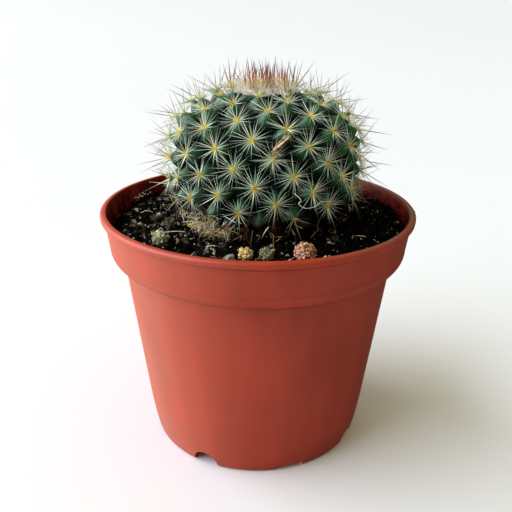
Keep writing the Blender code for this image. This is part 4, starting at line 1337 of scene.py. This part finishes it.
class CACTUS_OT_clods(bpy.types.Operator):
    """Make the clay pebble and the crumbling clods where the solids lie"""
    bl_idname = "cactus.clods"
    bl_label = "Make the clods"

    def execute(self, context):
        rng = random.Random(SEED + 7)
        crumb_shapes = [rough_bit(1, 1.2, seed + 0.3) for seed in range(4)]
        for name, node, slot, size, relief, stops in CLODS:
            low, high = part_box(node)
            centre, half = 0.5 * (low + high), CLOD_SHARE * (high - low)
            bm = bmesh.new()
            bmesh.ops.create_icosphere(bm, subdivisions=5, radius=1.0)
            for vert in bm.verts:
                spot = scaled(vert.co, half) / (size * MM) + centre / MM
                rough = sum(share * noise.noise(spot * finer) for share, finer in CLOD_NOISE)
                vert.co *= 1.0 - 0.2 * relief + relief * rough
                vert.co = centre + scaled(vert.co, half)
            for i in range(int(CLOD_CRUMBS * half.length / MM)):
                way = Vector([rng.gauss(0.0, 1.0) for _ in range(3)]).normalized()
                spot = centre + 0.93 * scaled(way, half)
                bit = rng.lognormvariate(-1.25, 0.45) * MM
                place = Matrix.Translation(spot) @ tumbled(rng) @ Matrix.Scale(bit, 4)
                stamp(bm, rng.choice(crumb_shapes), place)
            surface = crusted(name + "_surface", stops, 0.5 * size, 0.7)
            finish(name, bm, surface, slot, [node], crease=60)
        return {"FINISHED"}


# ---------------------------------------------------------------- stage

class CACTUS_OT_stage(bpy.types.Operator):
    """Lay the pale floor and set the window light, the fill and the camera"""
    bl_idname = "cactus.stage"
    bl_label = "Make the stage"

    def execute(self, context):
        settings = context.scene.cactus.stage
        self.make_floor(settings)
        self.make_lights(context.scene, settings)
        self.make_camera(context.scene)
        return {"FINISHED"}

    def make_floor(self, settings):
        """Floor with a wide sweep up behind the pot, so that no horizon shows."""
        bm = bmesh.new()
        front = [bm.verts.new((x, -0.5 * FLOOR_DEPTH, 0.0)) for x in (-FLOOR_SIDE, FLOOR_SIDE)]
        edges = [bm.edges.new(front)]
        sweep = [(0.0, SWEEP_STEP * math.cos(a), SWEEP_STEP * math.sin(a))
                 for a in np.linspace(0.1, 1.5, 9)]
        for move in [(0.0, FLOOR_DEPTH, 0.0), *sweep, (0.0, 0.0, BACKDROP)]:
            verts, edges = extruded(bm, edges)
            bmesh.ops.translate(bm, verts=verts, vec=move)
        mesh = to_mesh(bm, "floor")
        mesh.shade_smooth()
        look = Look(blank("matt_white_tabletop"))
        tone = [0.985 * c for c in settings.floor[:3]] + [1.0]
        colour = look.mix(look.noise(120.0, 2.0), tone, tuple(settings.floor))
        mesh.materials.append(look.finished(colour, 0.6))
        floor = linked("floor", mesh)
        floor.visible_glossy = False

    def make_lights(self, scene, settings):
        world = bpy.data.worlds.new("room")
        world.use_nodes = True
        look = Look(world, "Generated")
        parts = add(world, "SeparateXYZ", {0: look.where})
        rise = look.maths("MAXIMUM", parts.outputs["Z"], 0.0)
        glow = look.span(look.maths("MULTIPLY", rise, rise),
                         end=(0.1 * settings.fill, 3.0 * settings.fill))
        side = look.span(parts.outputs["X"], (0.25, -1.0))
        sheen = look.span(look.maths("MULTIPLY", side, side), end=(0.08, settings.sheen))
        rays = add(world, "LightPath").outputs
        glossy, seen = rays["Is Glossy Ray"], rays["Is Camera Ray"]
        strength = look.add("Mix", {0: glossy, 2: glow, 3: sheen})
        tint = look.mix(glossy, "F0EDB8", "FFF4E0")
        background = world.node_tree.nodes["Background"]
        for socket, value in (("Color", look.mix(seen, tint, tuple(settings.floor))),
                              ("Strength", look.add("Mix", {0: seen, 2: strength, 3: 1.0}))):
            world.node_tree.links.new(value, background.inputs[socket])
        scene.world = world
        light = bpy.data.lights.new("window", "SUN")
        light.angle = settings.softness
        light.energy = settings.key
        light.color = srgb("ECF4FF")[:3]
        window = linked("window", light)
        turn, lift = settings.direction, settings.height
        spot = Vector((math.cos(turn) * math.cos(lift), math.sin(turn) * math.cos(lift), math.sin(lift)))
        window.rotation_euler = spot.to_track_quat("Z", "Y").to_euler()

    def make_camera(self, scene):
        data = bpy.data.cameras.new("camera")
        data.sensor_width, data.lens = 36.0, 47.8
        data.shift_x, data.shift_y = -0.0221, 0.0456
        data.clip_start = 0.01
        camera = linked("camera", data)
        back = Vector((0.0, -math.cos(CAMERA_TILT), math.sin(CAMERA_TILT)))
        right = Vector((1.0, 0.0, 0.0))
        up = Vector((0.0, math.sin(CAMERA_TILT), math.cos(CAMERA_TILT)))
        x = right * math.cos(CAMERA_ROLL) + up * math.sin(CAMERA_ROLL)
        y = up * math.cos(CAMERA_ROLL) - right * math.sin(CAMERA_ROLL)
        camera.matrix_world = Matrix.Translation(CAMERA_TARGET + back * CAMERA_DISTANCE) @ Matrix(
            (x, y, back)).transposed().to_4x4()
        scene.camera = camera
        scene.view_settings.view_transform = "Standard"


# ---------------------------------------------------------------- panel and start

OPERATORS = (CACTUS_OT_stage, CACTUS_OT_pot, CACTUS_OT_soil, CACTUS_OT_skin, CACTUS_OT_spines,
             CACTUS_OT_wool, CACTUS_OT_withered, CACTUS_OT_flower, CACTUS_OT_clods)


class CACTUS_PT_panel(bpy.types.Panel):
    """Buttons and settings of the potted cactus"""
    bl_idname = "CACTUS_PT_panel"
    bl_label = "Potted cactus"
    bl_space_type = "VIEW_3D"
    bl_region_type = "UI"
    bl_category = "Cactus"

    def draw(self, context):
        for operator in OPERATORS:
            self.layout.operator(operator.bl_idname)
        for name, group in GROUPS.items():
            box = self.layout.box()
            box.label(text=name.capitalize())
            for key in group.__annotations__:
                box.prop(getattr(context.scene.cactus, name), key)


CLASSES = (*GROUPS.values(), CactusSettings, *OPERATORS, CACTUS_PT_panel)


def register():
    for cls in CLASSES:
        bpy.utils.register_class(cls)
    bpy.types.Scene.cactus = bpy.props.PointerProperty(
        type=CactusSettings, name="Cactus", description="Sizes and colours of the potted cactus")


def unregister():
    del bpy.types.Scene.cactus
    for cls in reversed(CLASSES):
        bpy.utils.unregister_class(cls)


def main():
    register()
    for operator in OPERATORS:
        group, name = operator.bl_idname.split(".")
        getattr(getattr(bpy.ops, group), name)()


if __name__ == "__main__":
    main()
